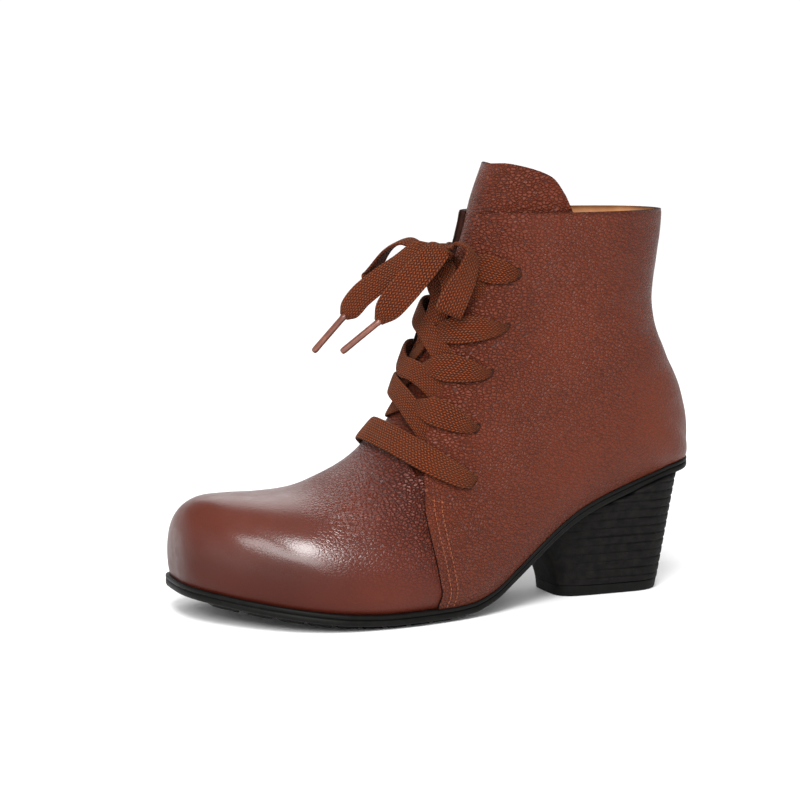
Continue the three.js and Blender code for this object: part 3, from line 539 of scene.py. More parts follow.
def leatherAttributes(points, kind):
    x, z = points[:, 0], points[:, 2]
    none = 0 * x
    if kind == "vamp":
        # a band of shine round the toe, a darker toe with painted shade darkening its lower part further,
        # and pebbles that fade towards it
        band = sum(share * np.exp(-((z - height) / wide) ** 2) for height, wide, share in finish["bands"])
        tip = np.clip(1 - (1 - finish["tipShine"]) * (x - finish["tip"][0]) / finish["tip"][1],
                      finish["tipShine"], 1)
        polish = ramp(x, "shine") * tip * np.minimum(band, 1)
        polish = np.clip(polish + finish["backShine"] * ramp(x, "backShineX") * ramp(z, "backShineZ"), 0, 1)
        burnishAndShade = ramp(x, "toe") * (finish["burntAll"] + (1 - finish["burntAll"]) * ramp(z, "lowToeShade"))
        low = finish["lowGrain"]
        grain = np.clip(1 - ramp(x, "smooth") * 0.96, 0.04, 1) * np.clip((z - low[0]) / low[1], 0.25, 1)
        return dict(polish=polish, burnishAndShade=burnishAndShade, grain=grain, deep=1 - 0.35 * ramp(x, "toe"))
    if kind == "tongue":
        return dict(polish=none, burnishAndShade=none, grain=none + finish["tongueGrain"], deep=none)
    grain = finish["sideGrain"] + 0.2 * ramp(x, "front") + 0.16 * ramp(z, "shaft")
    grain = grain * (1 - 0.5 * ramp(x, "heelX") * ramp(z, "heelZ"))
    return dict(polish=none, burnishAndShade=none, grain=grain, deep=none)


def makeVamp():
    s = vampSizes
    turn = np.linspace(-np.pi, np.pi, s["around"] + 1)[:-1]
    share = np.linspace(0, 1, s["rows"]) ** 0.9
    spread = np.abs(np.degrees(turn))
    # past the throat's width it runs on under the quarters
    past = np.clip((spread - s["throat"]) / s["throatEnd"], 0, 1)
    end = s["throatRow"] + (s["underQuarter"] - s["throatRow"]) * past
    row = s["pole"] + share[:, None] * (end[None] - s["pole"])
    turns = np.broadcast_to(turn[None], row.shape)
    points = onLast(row, turns, np.zeros_like(row))
    normals = lastNormal(row, turns)
    points = troughs(points, normals, vampCreases)
    # the leather swells a little between the pleats of the toe, and not at its tip
    wave = np.sin(s["pleats"] * turns + s["pleatTurn"])
    wave = wave * np.exp(-((row - s["pleatRow"]) / s["pleatSpan"]) ** 2) * np.clip(row / 2.5, 0, 1) ** 2
    points = points + normals * (s["pleatRise"] * wave)[..., None]
    points = flattenUnder(points)
    row, turns = row[::3, ::2], turns[::3, ::2]
    inner = flattenUnder(onLast(row, turns, np.full(row.shape, -s["thick"])), 0.2)
    outerFaces = gridFaces(points.shape[0], points.shape[1], closed=True)
    flat = points.reshape(-1, 3)
    thing = meshObject("vamp", flat, outerFaces, attributes=leatherAttributes(flat, "vamp"))
    thing.data.materials.append(upperLeather)
    innerFaces = gridFaces(inner.shape[0], inner.shape[1], closed=True, flip=True)
    lining = meshObject("vampLining", inner.reshape(-1, 3), innerFaces)
    lining.data.materials.append(liningLeather)
    return thing, lining


def leatherShell(name, outer, inner, kind, flip):
    # an outer and an inner skin of the same grid, joined by a cut edge along both sides and the top
    rows, columns = outer.shape[:2]
    count = rows * columns
    points = np.vstack([outer.reshape(-1, 3), inner.reshape(-1, 3)])
    index = np.arange(count).reshape(rows, columns)
    rim = np.concatenate([index[:, 0], index[-1, 1:], index[::-1, -1][1:]])
    outerFaces = gridFaces(rows, columns, flip=flip)
    innerFaces = gridFaces(rows, columns, start=count, flip=not flip)
    corners = [rim[:-1], rim[1:], rim[1:] + count, rim[:-1] + count]
    rimFaces = np.stack(corners if flip else [corners[k] for k in (0, 3, 2, 1)], -1)
    faces = np.vstack([outerFaces, innerFaces, rimFaces])
    thing = meshObject(name, points, faces, attributes=leatherAttributes(points, kind))
    for material in (upperLeather, liningLeather, rawEdge):
        thing.data.materials.append(material)
    skins = np.repeat([0, 1, 2], [len(outerFaces), len(innerFaces), len(rimFaces)])
    thing.data.polygons.foreach_set("material_index", skins.astype(np.int32))
    return thing


quarterSizes = dict(rows=150, around=300, outer=1.3, wall=1.8, zipX=15.0, zipLow=78.0, zipHalf=3.0,
                    crowd=0.35, rollSide=0.35, rollTop=0.3)
quarterCreases = [
    ((-34, 22, 128), (20, 30, 120), 5.0, 0.7), ((-30, 18, 141), (12, 29, 136), 4.0, 0.55),
    ((-24, 14, 152), (6, 28, 151), 3.5, 0.4), ((-40, 10, 112), (-8, 32, 104), 6.0, 0.6),
    ((36, 31, 118), (74, 30, 106), 6.0, 0.45), ((20, 31, 160), (50, 25, 163), 3.0, 0.3),
    ((-6, 28, 170), (34, 28, 173), 2.5, 0.25), ((0, 29, 164), (26, 29, 165), 2.5, 0.22),
    ((14, 30, 146), (46, 29, 148), 3.0, 0.25),
    ((-34, -22, 128), (8, -30, 120), 5.0, 0.6), ((-30, -18, 141), (6, -29, 137), 4.0, 0.45),
    ((30, -30, 118), (70, -30, 106), 6.0, 0.45),
]


def quarterPlace(u, v):
    # u from the sole to the collar along the edge, v from the outer edge round the back to the inner
    row, turn = edgeAt(u)
    back = quarterEdge[0, 0] + (lastRow - quarterEdge[0, 0]) * u ** 0.8
    share = 2 * np.minimum(v, 1 - v)
    around = turn + (np.pi - turn) * share
    return row + (back - row) * share, np.where(v <= 0.5, around, 2 * np.pi - around)


def collarShare(v):
    # where each column reaches the collar
    low, high = np.full_like(v, 0.3), np.ones_like(v)
    for _ in range(30):
        middle = (low + high) / 2
        row, turn = quarterPlace(middle, v)
        under = bareLast(row, turn)[..., 2] < collarZ
        low, high = np.where(under, middle, low), np.where(under, high, middle)
    return low


def quarterGrid(rows, around, off):
    v = np.linspace(0, 1, around)
    # closer columns at both front edges
    v = v - quarterSizes["crowd"] * np.sin(4 * np.pi * v) / (4 * np.pi)
    top = collarShare(v)
    u = np.linspace(0, 1, rows)[:, None] * top[None]
    row, turn = quarterPlace(u, np.broadcast_to(v[None], u.shape))
    points = onLast(row, turn, np.full(u.shape, float(off)))
    return points, lastNormal(row, turn)


def makeQuarters():
    s = quarterSizes
    outer, normals = quarterGrid(s["rows"], s["around"], s["outer"])
    # a soft roll at the cut edges
    fromEdge = np.minimum(np.arange(s["around"]), np.arange(s["around"])[::-1])
    roll = np.where(fromEdge == 0, -s["rollSide"], 0.0)[None] + np.zeros(outer.shape[:2])
    roll[-1] -= s["rollTop"]
    outer = troughs(outer, normals, quarterCreases) + normals * roll[..., None]
    outer = flattenUnder(outer)
    inner, _ = quarterGrid(s["rows"], s["around"], -s["wall"])
    inner = flattenUnder(inner, 0.2)
    thing = leatherShell("quarters", outer, inner, "quarter", True)
    # the zip's slot on the inner side: its three straight edges are cut into the faces round it
    editing = bmesh.new()
    editing.from_mesh(thing.data)

    def inSlot(aside, below):
        found = []
        for face in editing.faces:
            c = face.calc_center_median() / mm
            if c.y < 0 and abs(c.x - s["zipX"]) < s["zipHalf"] + aside and c.z > s["zipLow"] - below:
                found.append(face)
        return found
    near = inSlot(9, 8)
    edges = (((s["zipX"] - s["zipHalf"], 0, 0), (1, 0, 0)), ((s["zipX"] + s["zipHalf"], 0, 0), (1, 0, 0)),
             ((0, 0, s["zipLow"]), (0, 0, 1)))
    for place, way in edges:
        parts = set(near)
        for face in near:
            parts.update(face.edges)
            parts.update(face.verts)
        cut = bmesh.ops.bisect_plane(editing, geom=list(parts), plane_co=Vector(place) * mm, plane_no=way)
        near = [part for part in cut["geom"] if isinstance(part, bmesh.types.BMFace)]
    bmesh.ops.delete(editing, geom=inSlot(0, 0), context="FACES")
    editing.to_mesh(thing.data)
    editing.free()
    return thing


tongueSizes = dict(rows=150, around=90, off=-2.3, thick=1.6, firstRow=8.2)
tongueSpread = np.array([(8.2, 50), (11, 48), (14, 50), (17, 60), (20, 80), (25, 88)], float)


def flapTop(x):
    keys = flapRows[::-1, 0] * last["length"]
    return collarZ + smoothColumn(keys, flapRows[::-1, 1], x) * last["flap"]


def tongueGrid(rows, around, off):
    v = np.linspace(-1, 1, around)
    low, high = np.full(around, 9.0), np.full(around, 24.9)

    def turnAt(row):
        return np.radians(smoothColumn(tongueSpread[:, 0], tongueSpread[:, 1], row)) * v
    for _ in range(30):
        middle = (low + high) / 2
        p = bareLast(middle, turnAt(middle))
        under = p[:, 2] < flapTop(p[:, 0])
        low, high = np.where(under, middle, low), np.where(under, high, middle)
    start = tongueSizes["firstRow"]
    row = start + np.linspace(0, 1, rows)[:, None] * (low[None] - start)
    turn = np.radians(smoothColumn(tongueSpread[:, 0], tongueSpread[:, 1], row)) * v[None]
    return onLast(row, turn, np.full(row.shape, float(off))), lastNormal(row, turn)


tongueCreases = [
    ((92, 10, 124), (92, -10, 124), 3.0, 0.5), ((88, 12, 140), (86, -12, 141), 3.0, 0.5),
    ((66, 6, 192), (60, 20, 190), 5.0, 0.4),
]


def makeTongue():
    s = tongueSizes
    outer, normals = tongueGrid(s["rows"], s["around"], s["off"])
    outer = troughs(outer, normals, tongueCreases)
    inner, _ = tongueGrid(s["rows"], s["around"], s["off"] - s["thick"])
    return leatherShell("tongue", outer, inner, "tongue", False)


vamp, vampLining = makeVamp()
for piece in (vamp, vampLining, makeQuarters()):
    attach(piece, "boot")
    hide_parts("upper")
tongue = makeTongue()
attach(tongue, "boot")
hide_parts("tongue")
print("leather ready")

soleSizes = dict(steps=300, across=14, inner=-3.0)
# section of the edge strip: distance out from the seat outline, and height under the seat line
soleSection = [(-2.0, 0.0), (0.9, 0.02), (1.5, -0.15), (1.78, -0.55), (1.8, -1.7), (1.5, -1.95),
               (1.25, -2.15), (1.5, -2.4), (1.8, -2.6), (1.8, -4.3), (1.6, -4.9), (1.1, -5.2),
               (soleSizes["inner"], -last["edge"])]


def seatOutline(off, steps):
    # the last at the seat line grown by a distance, from the toe along the outer side and back
    def above(row, turn):
        p = onLast(row, turn, np.full(np.shape(row), float(off)))
        return p[..., 2] - seat(p[..., 0])

    def crossing(a, b, test, count=1):
        a, b = np.full(count, float(a)), np.full(count, float(b))
        for _ in range(40):
            middle = (a + b) / 2
            positive = test(middle) > 0
            a, b = np.where(positive, middle, a), np.where(positive, b, middle)
        return b
    toeRow = crossing(0.06, 3, lambda r: above(r, np.full(r.shape, np.pi)))[0]
    heelRow = crossing(18.5, 14, lambda r: above(r, np.full(r.shape, np.pi)))[0]
    i = np.arange(1, steps)
    rows = toeRow + (heelRow - toeRow) * (1 - np.cos(np.pi * i / steps)) / 2
    sides = []
    for side in (1, -1):
        turns = crossing(np.pi / 2, np.pi, lambda t: above(rows, side * t), len(rows))
        sides.append(onLast(rows, side * turns, np.full(len(rows), float(off)))[:, :2])
    ends = onLast(np.array([toeRow, heelRow]), np.full(2, np.pi), np.full(2, float(off)))[:, :2]
    return np.vstack([ends[:1], sides[0], ends[1:], sides[1][::-1]])


def splitSides(outline):
    # the outer and the inner side, both from toe to heel
    half = len(outline) // 2
    return outline[:half + 1], np.vstack([outline[:1], outline[half:][::-1]])


def makeSole():
    steps = soleSizes["steps"]
    rim = seatOutline(last["rim"], steps)
    inner = seatOutline(soleSizes["inner"], steps)
    rings = []
    for out, down in soleSection:
        share = (out - soleSizes["inner"]) / (last["rim"] - soleSizes["inner"])
        line = inner + (rim - inner) * share
        rings.append(np.column_stack([line, seat(line[:, 0]) + down]))
    count = len(rim)
    points = np.vstack(rings)
    faces = [tuple(f) for f in gridFaces(len(rings), count, closed=True)]
    # upper and lower faces: ruled between the two sides
    for ring, down in ((0, soleSection[0][1]), (len(rings) - 1, soleSection[-1][1])):
        base = ring * count
        outerSide = np.arange(1, steps)
        innerSide = count - outerSide
        across = soleSizes["across"]
        start = len(points)
        new = []
        for a, b in zip(outerSide, innerSide):
            pa, pb = points[base + a], points[base + b]
            for t in np.linspace(0, 1, across)[1:-1]:
                p = pa + (pb - pa) * t
                new.append((p[0], p[1], float(seat(p[0])) + down))
        points = np.vstack([points, new])
        width = across - 2
        for k in range(len(outerSide)):
            filled = [start + k * width + m for m in range(width)]
            rowNow = [base + outerSide[k]] + filled + [base + innerSide[k]]
            if k == 0:
                tip = base
                for m in range(len(rowNow) - 1):
                    tri = (tip, rowNow[m], rowNow[m + 1])
                    faces.append(tri if ring else tri[::-1])
            else:
                for m in range(len(rowNow) - 1):
                    quad = (before[m], rowNow[m], rowNow[m + 1], before[m + 1])
                    faces.append(quad if ring else quad[::-1])
            before = rowNow
        tip = base + steps
        for m in range(len(before) - 1):
            tri = (tip, before[m + 1], before[m])
            faces.append(tri if ring else tri[::-1])
    thing = meshObject("outsole", points, faces)
    thing.data.materials.append(soleBlack)
    return thing


treadBars = dict(first=0.375, last=0.80, count=9, gap=3.0, middle=3.0, inset=1.5, across=9, along=7,
                 sunk=0.3, taper=0.5)


def makeTread():
    s = treadBars
    n = s["across"]
    outerSide, innerSide = splitSides(seatOutline(-s["inset"], 200))

    def widthAt(x, side):
        line = side[np.argsort(side[:, 0])]
        return np.interp(x, line[:, 0], line[:, 1])
    step = (s["last"] - s["first"]) * last["length"] / s["count"]
    points, faces = [], []
    for i in range(s["count"]):
        middle = s["first"] * last["length"] + (i + 0.5) * step
        for side, sign in ((outerSide, 1), (innerSide, -1)):
            xs = np.linspace(middle - (step - s["gap"]) / 2, middle + (step - s["gap"]) / 2, s["along"])
            start = len(points)
            for x in xs:
                far = widthAt(x, side)
                near = sign * s["middle"] / 2
                shrink = s["taper"] / max(abs(far - near), 1)
                for t in np.linspace(0, 1, n):
                    points.append((x, near + (far - near) * t, float(seat(x)) - last["edge"] + s["sunk"]))
                for t in np.linspace(0, 1, n):
                    y = near + (far - near) * (shrink + (1 - 2 * shrink) * t)
                    points.append((x, y, float(seat(x)) - last["edge"] - last["tread"]))
            # each station has a row of points above and one below
            for a in range(len(xs) - 1):
                r0, r1 = start + 2 * n * a, start + 2 * n * (a + 1)
                for k in range(n - 1):
                    faces.append((r0 + n + k, r0 + n + 1 + k, r1 + n + 1 + k, r1 + n + k)[::sign])
                faces.append((r0, r0 + n, r1 + n, r1)[::sign])
                faces.append((r0 + n - 1, r1 + n - 1, r1 + 2 * n - 1, r0 + 2 * n - 1)[::sign])
            for r, way in ((start, 1), (start + (len(xs) - 1) * 2 * n, -1)):
                for k in range(n - 1):
                    faces.append((r + k, r + k + 1, r + n + 1 + k, r + n + k)[::sign * way])
    thing = meshObject("treadBars", points, faces, smooth=False)
    thing.data.materials.append(soleBlack)
    return thing


heelSizes = dict(length=56.0, width=36.0, topWidth=55.0, lift=5.0, step=4.1, depth=0.9, around=200, gap=0.3,
                 rake=9, flare=18, flareRise=30, breastPower=2 / 5, backPower=2 / 2.4, groove=0.68,
                 grooveWidth=0.10, levels=(0.5, 1.6, 2.1, 2.45, 2.8, 3.15, 3.5), above=6, lidGap=0.02,
                 lidMiddle=np.array([-8.0, 0.0]), lidStep=0.05)
# the top lift's rings: height and inset
liftRings = [(0.0, 0.9), (0.35, 0.35), (0.9, 0.2), (4.3, 0.2), (4.8, 0.35), (5.0, 0.8)]
heelTop = float(seat(-0.1 * last["length"])) - last["edge"]


def heelRing(z, inset, count):
    s = heelSizes
    up = z / heelTop
    back = -s["length"] / 2 - s["rake"] * up
    front = s["length"] / 2 + s["flare"] * min(1.0, z / s["flareRise"]) ** 2.2
    half = (s["width"] + (s["topWidth"] - s["width"]) * up) / 2
    middle = back + half
    angle = np.linspace(0, 2 * np.pi, count, endpoint=False)
    c, n = np.cos(angle), np.sin(angle)
    power = np.where(c > 0, s["breastPower"], s["backPower"])
    inset = np.broadcast_to(inset, c.shape)
    reach = np.where(c > 0, front - middle, middle - back - inset)
    drawn = np.where(c > 0, inset * (1 - np.minimum(1, np.abs(c) * 1.6)), inset)
    x, y = middle + reach * powered(c, power), (half - drawn) * powered(n, power)
    return np.column_stack([x, y, np.full(count, z)])


def unevenRing(seed, count, waves):
    rng = np.random.default_rng(abs(seed))
    angle = np.linspace(0, 2 * np.pi, count, endpoint=False)
    out = np.zeros(count)
    for k in waves:
        out += rng.normal() / k ** 0.5 * np.sin(k * angle + rng.uniform(0, 6.28))
    return out / max(1e-6, np.abs(out).max())


def makeHeel():
    s = heelSizes
    count = s["around"]
    rings = []
    z = s["lift"] + s["gap"]
    levels = [z]
    while z < heelTop + s["above"]:
        levels += [z + k for k in s["levels"]]
        z += s["step"]
        levels.append(z)
    for level in levels:
        height = level - s["lift"] - s["gap"]
        phase = (height % s["step"]) / s["step"]
        layer = int(height // s["step"])
        cut = np.exp(-((phase - s["groove"]) / s["grooveWidth"]) ** 2)
        rough = unevenRing(layer * 17 + int(phase * 10), count, range(6, 60, 3))
        deep = unevenRing(layer + 300, count, range(2, 14))
        wave = unevenRing(layer + 90, count, range(3, 30))
        inset = s["depth"] * cut * (0.8 + 0.3 * deep) + 0.1 * rough + 0.12 * wave
        # nothing stands out past the solid
        inset = np.clip(inset, 0, None)
        rings.append(heelRing(level, inset, count))
    points = np.array(rings)
    # where the block meets the sole, its rings turn inwards as a lid
    for below, ring in zip(points[:-1], points[1:]):
        over = ring[:, 2] > seat(ring[:, 0]) - last["edge"] - s["lidGap"]
        ring[over, :2] = below[over, :2] + (s["lidMiddle"] - below[over, :2]) * s["lidStep"]
        ring[over, 2] = seat(ring[over, 0]) - last["edge"] - s["lidGap"]
    flat = points.reshape(-1, 3)
    faces = [tuple(f) for f in gridFaces(len(rings), count, closed=True)]
    faces.append(tuple(range(count))[::-1])
    thing = meshObject("heelBlock", flat, faces)
    thing.data.materials.append(heelBlack)
    lift = [heelRing(level, inset, count) for level, inset in liftRings]
    base = np.vstack(lift)
    faces = [tuple(f) for f in gridFaces(len(lift), count, closed=True)]
    faces += [tuple(range(count))[::-1], tuple(range((len(lift) - 1) * count, len(lift) * count))]
    topLift = meshObject("topLift", base, faces)
    topLift.data.materials.append(liftBlack)
    return thing, topLift


insoleSizes = dict(gap=1.2, thick=2.4, cup=1.2, across=16)


def makeInsole():
    outerSide, innerSide = splitSides(seatOutline(-last["wall"] - insoleSizes["gap"], 120))
    points = []
    across = insoleSizes["across"]
    for a, b in zip(outerSide, innerSide):
        for t in np.linspace(0, 1, across):
            p = a + (b - a) * t
            cup = insoleSizes["cup"] * (2 * t - 1) ** 4
            points.append((p[0], p[1], float(seat(p[0])) + insoleSizes["thick"] + cup))
    thing = meshObject("insole", points, gridFaces(len(outerSide), across))
    thing.data.materials.append(liningLeather)
    return thing


sole, tread, insole = makeSole(), makeTread(), makeInsole()
heelBlock, topLift = makeHeel()
for piece, node, slot in ((sole, "outsole", "sole_rubber"), (tread, "outsole", "sole_rubber"),
                          (insole, "insole", "lining_leather"), (heelBlock, "heel", "heel_block"),
                          (topLift, "top_lift", "sole_rubber")):
    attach(piece, "boot")
    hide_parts(node)
print("sole and heel ready")

laces = dict(width=12.0, thick=2.0, steps=90, bend=0.85, barDip=2.0)
# lace holes of one side, from the lowest up: row, turn in degrees
laceHoles = [(10.75, 70), (11.58, 60.6), (12.87, 55.1), (14.42, 50.6), (17.35, 48)]


def laceRoute(points, name):
    # each point: row, turn in degrees, height over the leather, width, thickness
    line = np.array(points, float)
    row, turn = line[:, 0], np.radians(line[:, 1])
    centres = onLast(row, turn, line[:, 2])
    flats = lastNormal(row, turn)
    fine = spline(np.column_stack([centres, flats, line[:, 3], line[:, 4]]), laces["steps"])
    return ribbon(name, fine[:, :3], unit(fine[:, 3:6]), fine[:, 6], fine[:, 7])


# each crossing: how many rows the outer strand falls by the ridge, then the upper strand's row at
# the ridge and at the outer facing's edge, where it goes under the leather
crossings = [(1.95, 10.25, 10.05), (2.4, 10.95, 11.15), (3.4, 12.45, 12.0), (3.05, 15.2, 14.8)]
# stations of a strand: share of the hole's turn, height over the leather, width
underSteps = [(1.05, -2.4, 3.0), (1.0, 0.7, 3.6), (0.94, 2.3, 6.5), (0.86, 2.9, 10.0), (0.75, 3.2, 12.4),
              (0.63, 3.2, 12.8), (0.52, 2.9, 10.0), (0.42, 2.3, 6.0), (0.32, 1.2, 3.6), (0.15, -0.4, 5.5),
              (-0.15, -1.0, 8.5), (-0.5, -1.7, 8.5)]
overSteps = [(1.06, -2.4, 4.0), (1.0, 0.7, 4.6), (0.93, 2.5, 7.5), (0.85, 3.0, 10.5), (0.72, 3.1, 12.4),
             (0.55, 3.1, 12.6), (0.35, 3.0, 11.6), (0.15, 3.0, 10.6)]
# past the ridge: turn in degrees, share of the way to the edge's row, height, width
overEnds = [(4, 0.05, 3.2, 10.0), (15, 0.4, 3.3, 9.8), (24, 0.75, 2.4, 9.8), (32, 0.95, 1.0, 9.6),
            (40, 1.0, -0.7, 9.4), (48, 1.0, -1.3, 9.0)]
# the straight bar: share of the turn, both signs, with height, width and thickness
barSteps = [(0.12, 3.44, 12.8, 2.0), (0.4, 3.3, 12.8, 2.0), (0.68, 3.16, 12.8, 2.0), (0.9, 3.05, 10.0, 2.4),
            (1.0, 0.9, 6.0, 2.4), (1.03, -2.2, 6.0, 2.4)]


def underStrand(hole, fall, name):
    # from the outer hole over the facing, then under the other strand in the throat
    row, turn = hole
    path = []
    for share, lift, wide in underSteps:
        down = fall * max(0, 1 - share) ** laces["bend"] * (1 if share > 0 else 1 + share)
        path.append((row - down, turn * share, lift, wide, laces["thick"]))
    return laceRoute(path, name)


def overStrand(hole, ridge, edge, name):
    # from the inner hole over the ridge and down to the outer facing's edge
    row, turn = hole
    path = [(row + (ridge - row) * max(0, 1 - share) ** laces["bend"], -turn * share, lift, wide,
             laces["thick"]) for share, lift, wide in overSteps]
    for turnAt, share, lift, wide in overEnds:
        path.append((ridge + (edge - ridge) * share, turnAt, lift, wide, laces["thick"]))
    return laceRoute(path, name)


def makeLaces():
    made = []
    row, turn = laceHoles[0]
    bar = []
    signed = [(-share, *rest) for share, *rest in barSteps[::-1]] + barSteps
    for share, lift, width, thick in signed:
        down = laces["barDip"] * (1 - min(1, abs(share)) ** 2)
        bar.append((row - down, turn * share, lift, width, thick))
    made.append((laceRoute(bar, "laceBar"), "lace_bar"))
    for k, (hole, (fall, ridge, edge)) in enumerate(zip(laceHoles[1:], crossings)):
        node = f"lace_cross_{k + 1}"
        made.append((underStrand(hole, fall, f"laceUnder{k + 1}"), node))
        made.append((overStrand(hole, ridge, edge, f"laceOver{k + 1}"), node))
    return made


for piece, node in makeLaces():
    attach(piece, "boot")
    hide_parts(node)
print("lace rows ready")

# rings of a slit: share of its size, height over the leather
holeCuts = dict(long=4.2, wide=2.0, steps=24, lift=0.06,
                rings=((0.05, -0.5), (0.75, -0.05), (1.0, 0.08), (1.35, 0.0)))


def makeHoleRims():
    # a slit with a slightly raised lip at each lace hole, in the cut edge's colour; its dark inside is
    # painted shade for the hole
    s = holeCuts
    angle = 2 * np.pi * np.arange(s["steps"]) / s["steps"]
    long, wide = np.cos(angle)[:, None] * s["long"] / 2, np.sin(angle)[:, None] * s["wide"] / 2
    points, faces = [], []
    for row, turn in laceHoles:
        for side in (1, -1):
            r, t = np.array([row]), np.array([np.radians(turn) * side])
            middle = onLast(r, t, np.array([last["quarter"] + s["lift"]]))[0]
            out = lastNormal(r, t)[0]
            up = unit((bareLast(r + 0.05, t) - bareLast(r - 0.05, t))[0])
            sideways = np.cross(out, up)
            start = len(points)
            for grown, lift in s["rings"]:
                points += list(middle + (up * long + sideways * wide) * grown + out * lift)
            faces += [tuple(f) for f in gridFaces(len(s["rings"]), s["steps"], start=start, closed=True)]
            faces.append(tuple(range(start, start + s["steps"]))[::-1])
    thing = meshObject("laceSlits", points, faces)
    thing.data.materials.append(rawEdge)
    return thing


slits = makeHoleRims()
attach(slits, "boot")

# stitches: short threads set end to end along a line on the leather
seams = dict(pitch=2.1, length=1.6, thick=0.4, rows=(4.4, 8.0), lift=0.08, fromShare=0.02, toShare=0.325)


def rowTree(name, kind, settings, turned, paint):
    # one small shape at even steps along open lines, with its sizes as named inputs
    tree = bpy.data.node_groups.new(name, "GeometryNodeTree")
    add, link, face = tree.nodes.new, tree.links.new, tree.interface
    face.new_socket("Geometry", in_out="INPUT", socket_type="NodeSocketGeometry")
    for key in ("Pitch", "Width", "Depth", "Length"):
        face.new_socket(key, in_out="INPUT", socket_type="NodeSocketFloat")
    face.new_socket("Geometry", in_out="OUTPUT", socket_type="NodeSocketGeometry")
    start, end = add("NodeGroupInput"), add("NodeGroupOutput")
    toCurve = add("GeometryNodeMeshToCurve")
    link(start.outputs["Geometry"], toCurve.inputs[0])
    spaced = add("GeometryNodeCurveToPoints")
    spaced.mode = "LENGTH"
    link(toCurve.outputs[0], spaced.inputs["Curve"])
    link(start.outputs["Pitch"], spaced.inputs["Length"])
    shape = add(kind)
    for key, value in settings.items():
        shape.inputs[key].default_value = value
    sizes = add("ShaderNodeCombineXYZ")
    for k, key in enumerate(("Width", "Depth", "Length")):
        link(start.outputs[key], sizes.inputs[k])
    scaled = add("GeometryNodeTransform")
    link(shape.outputs["Mesh"], scaled.inputs["Geometry"])
    link(sizes.outputs[0], scaled.inputs["Scale"])
    placed = add("GeometryNodeInstanceOnPoints")
    link(spaced.outputs["Points"], placed.inputs["Points"])
    link(scaled.outputs[0], placed.inputs["Instance"])
    if turned:
        link(spaced.outputs["Rotation"], placed.inputs["Rotation"])
    solid = add("GeometryNodeRealizeInstances")
    link(placed.outputs[0], solid.inputs[0])
    painted = add("GeometryNodeSetMaterial")
    painted.inputs["Material"].default_value = paint
    link(solid.outputs[0], painted.inputs[0])
    link(painted.outputs[0], end.inputs[0])
    return tree


def grow(name, lines, tree, sizes):
    # runs a node tree on open lines of points, with sizes in mm, and keeps the plain mesh that it makes
    points, edges = [], []
    for line in lines:
        first = len(points)
        points += [tuple(p * mm) for p in np.asarray(line)]
        edges += [(first + k, first + k + 1) for k in range(len(line) - 1)]
    data = bpy.data.meshes.new(name + "Line")
    data.from_pydata(points, edges, [])
    carrier = bpy.data.objects.new(name, data)
    bpy.context.collection.objects.link(carrier)
    modifier = carrier.modifiers.new("grow", "NODES")
    modifier.node_group = tree
    for item in tree.interface.items_tree:
        if item.item_type == "SOCKET" and item.in_out == "INPUT" and item.name in sizes:
            modifier[item.identifier] = sizes[item.name] * mm
    graph = bpy.context.evaluated_depsgraph_get()
    grown = bpy.data.meshes.new_from_object(carrier.evaluated_get(graph))
    carrier.modifiers.clear()
    carrier.data = grown
    grown.name = name
    grown.polygons.foreach_set("use_smooth", [True] * len(grown.polygons))
    return carrier


stitchRow = rowTree("stitchRow", "GeometryNodeMeshUVSphere", {"Segments": 8, "Rings": 6, "Radius": 0.5},
                    True, thread)
stitchInputs = {"Pitch": seams["pitch"], "Width": seams["thick"], "Depth": seams["thick"],
                "Length": seams["length"]}


def edgeLine(away, side, count=160):
    # a line on the quarter a distance in mm behind its cut edge
    share = np.linspace(seams["fromShare"], seams["toShare"], count)
    row, turn = edgeAt(share)
    at = onLast(row, side * turn, np.full(count, last["quarter"] + seams["lift"]))
    out = lastNormal(row, side * turn)
    along = unit(np.gradient(at, axis=0))
    return at - np.cross(out, along) * side * away


def pullToQuarter(points):
    # the nearest places on the quarter, by a few Newton steps from a coarse search
    rows = np.linspace(7.5, 25, 260)
    turns = np.radians(np.linspace(-175, 175, 351))
    grid = bareLast(rows[:, None], turns[None, :])
    out = []
    for p in points:
        distance = np.sum((grid - p) ** 2, -1)
        i, j = np.unravel_index(np.argmin(distance), distance.shape)
        r, t = rows[i], turns[j]
        for _ in range(4):
            base = bareLast(np.array(r), np.array(t))
            dr = (bareLast(np.array(r + 0.01), np.array(t)) - base) / 0.01
            dt = (bareLast(np.array(r), np.array(t + 0.01)) - base) / 0.01
            gap = p - base
            system = np.array([[dr @ dr, dr @ dt], [dr @ dt, dt @ dt]])
            move = np.linalg.solve(system + np.eye(2) * 1e-6, np.array([gap @ dr, gap @ dt]))
            r, t = float(np.clip(r + move[0], 0.1, 24.9)), t + move[1]
        out.append(onLast(np.array(r), np.array(t), np.array(last["quarter"] + seams["lift"])))
    return np.array(out)


def makeStitches():
    lines = []
    for side in (1, -1):
        for away in seams["rows"]:
            line = edgeLine(away, side)
            line = line[seat(line[:, 0]) + 1.0 < line[:, 2]]
            lines.append(pullToQuarter(line[::2]))
        # the bar that closes both rows at the top
        a, b = lines[-2][-1], lines[-1][-1]
        lines.append(pullToQuarter(a + (b - a) * np.linspace(-0.1, 1.1, 6)[:, None]))
    return grow("edgeStitches", lines, stitchRow, stitchInputs)


stitches = makeStitches()
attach(stitches, "boot")
print("stitches ready", len(stitches.data.polygons))

# side zip on the inner side
zipSizes = dict(x=15.0, low=79.0, high=collarZ - 1.5, tape=3.6, tapeDepth=0.5, off=-0.35, beside=5.2,
                teeth=0.55, stagger=1.0)
toothInputs = {"Pitch": 2.0, "Width": 1.5, "Depth": 1.3, "Length": 1.1}
innerRows, innerTurns = np.linspace(9, 25, 400), np.radians(np.linspace(-170, -20, 300))
innerGrid = bareLast(innerRows[:, None], innerTurns[None, :])


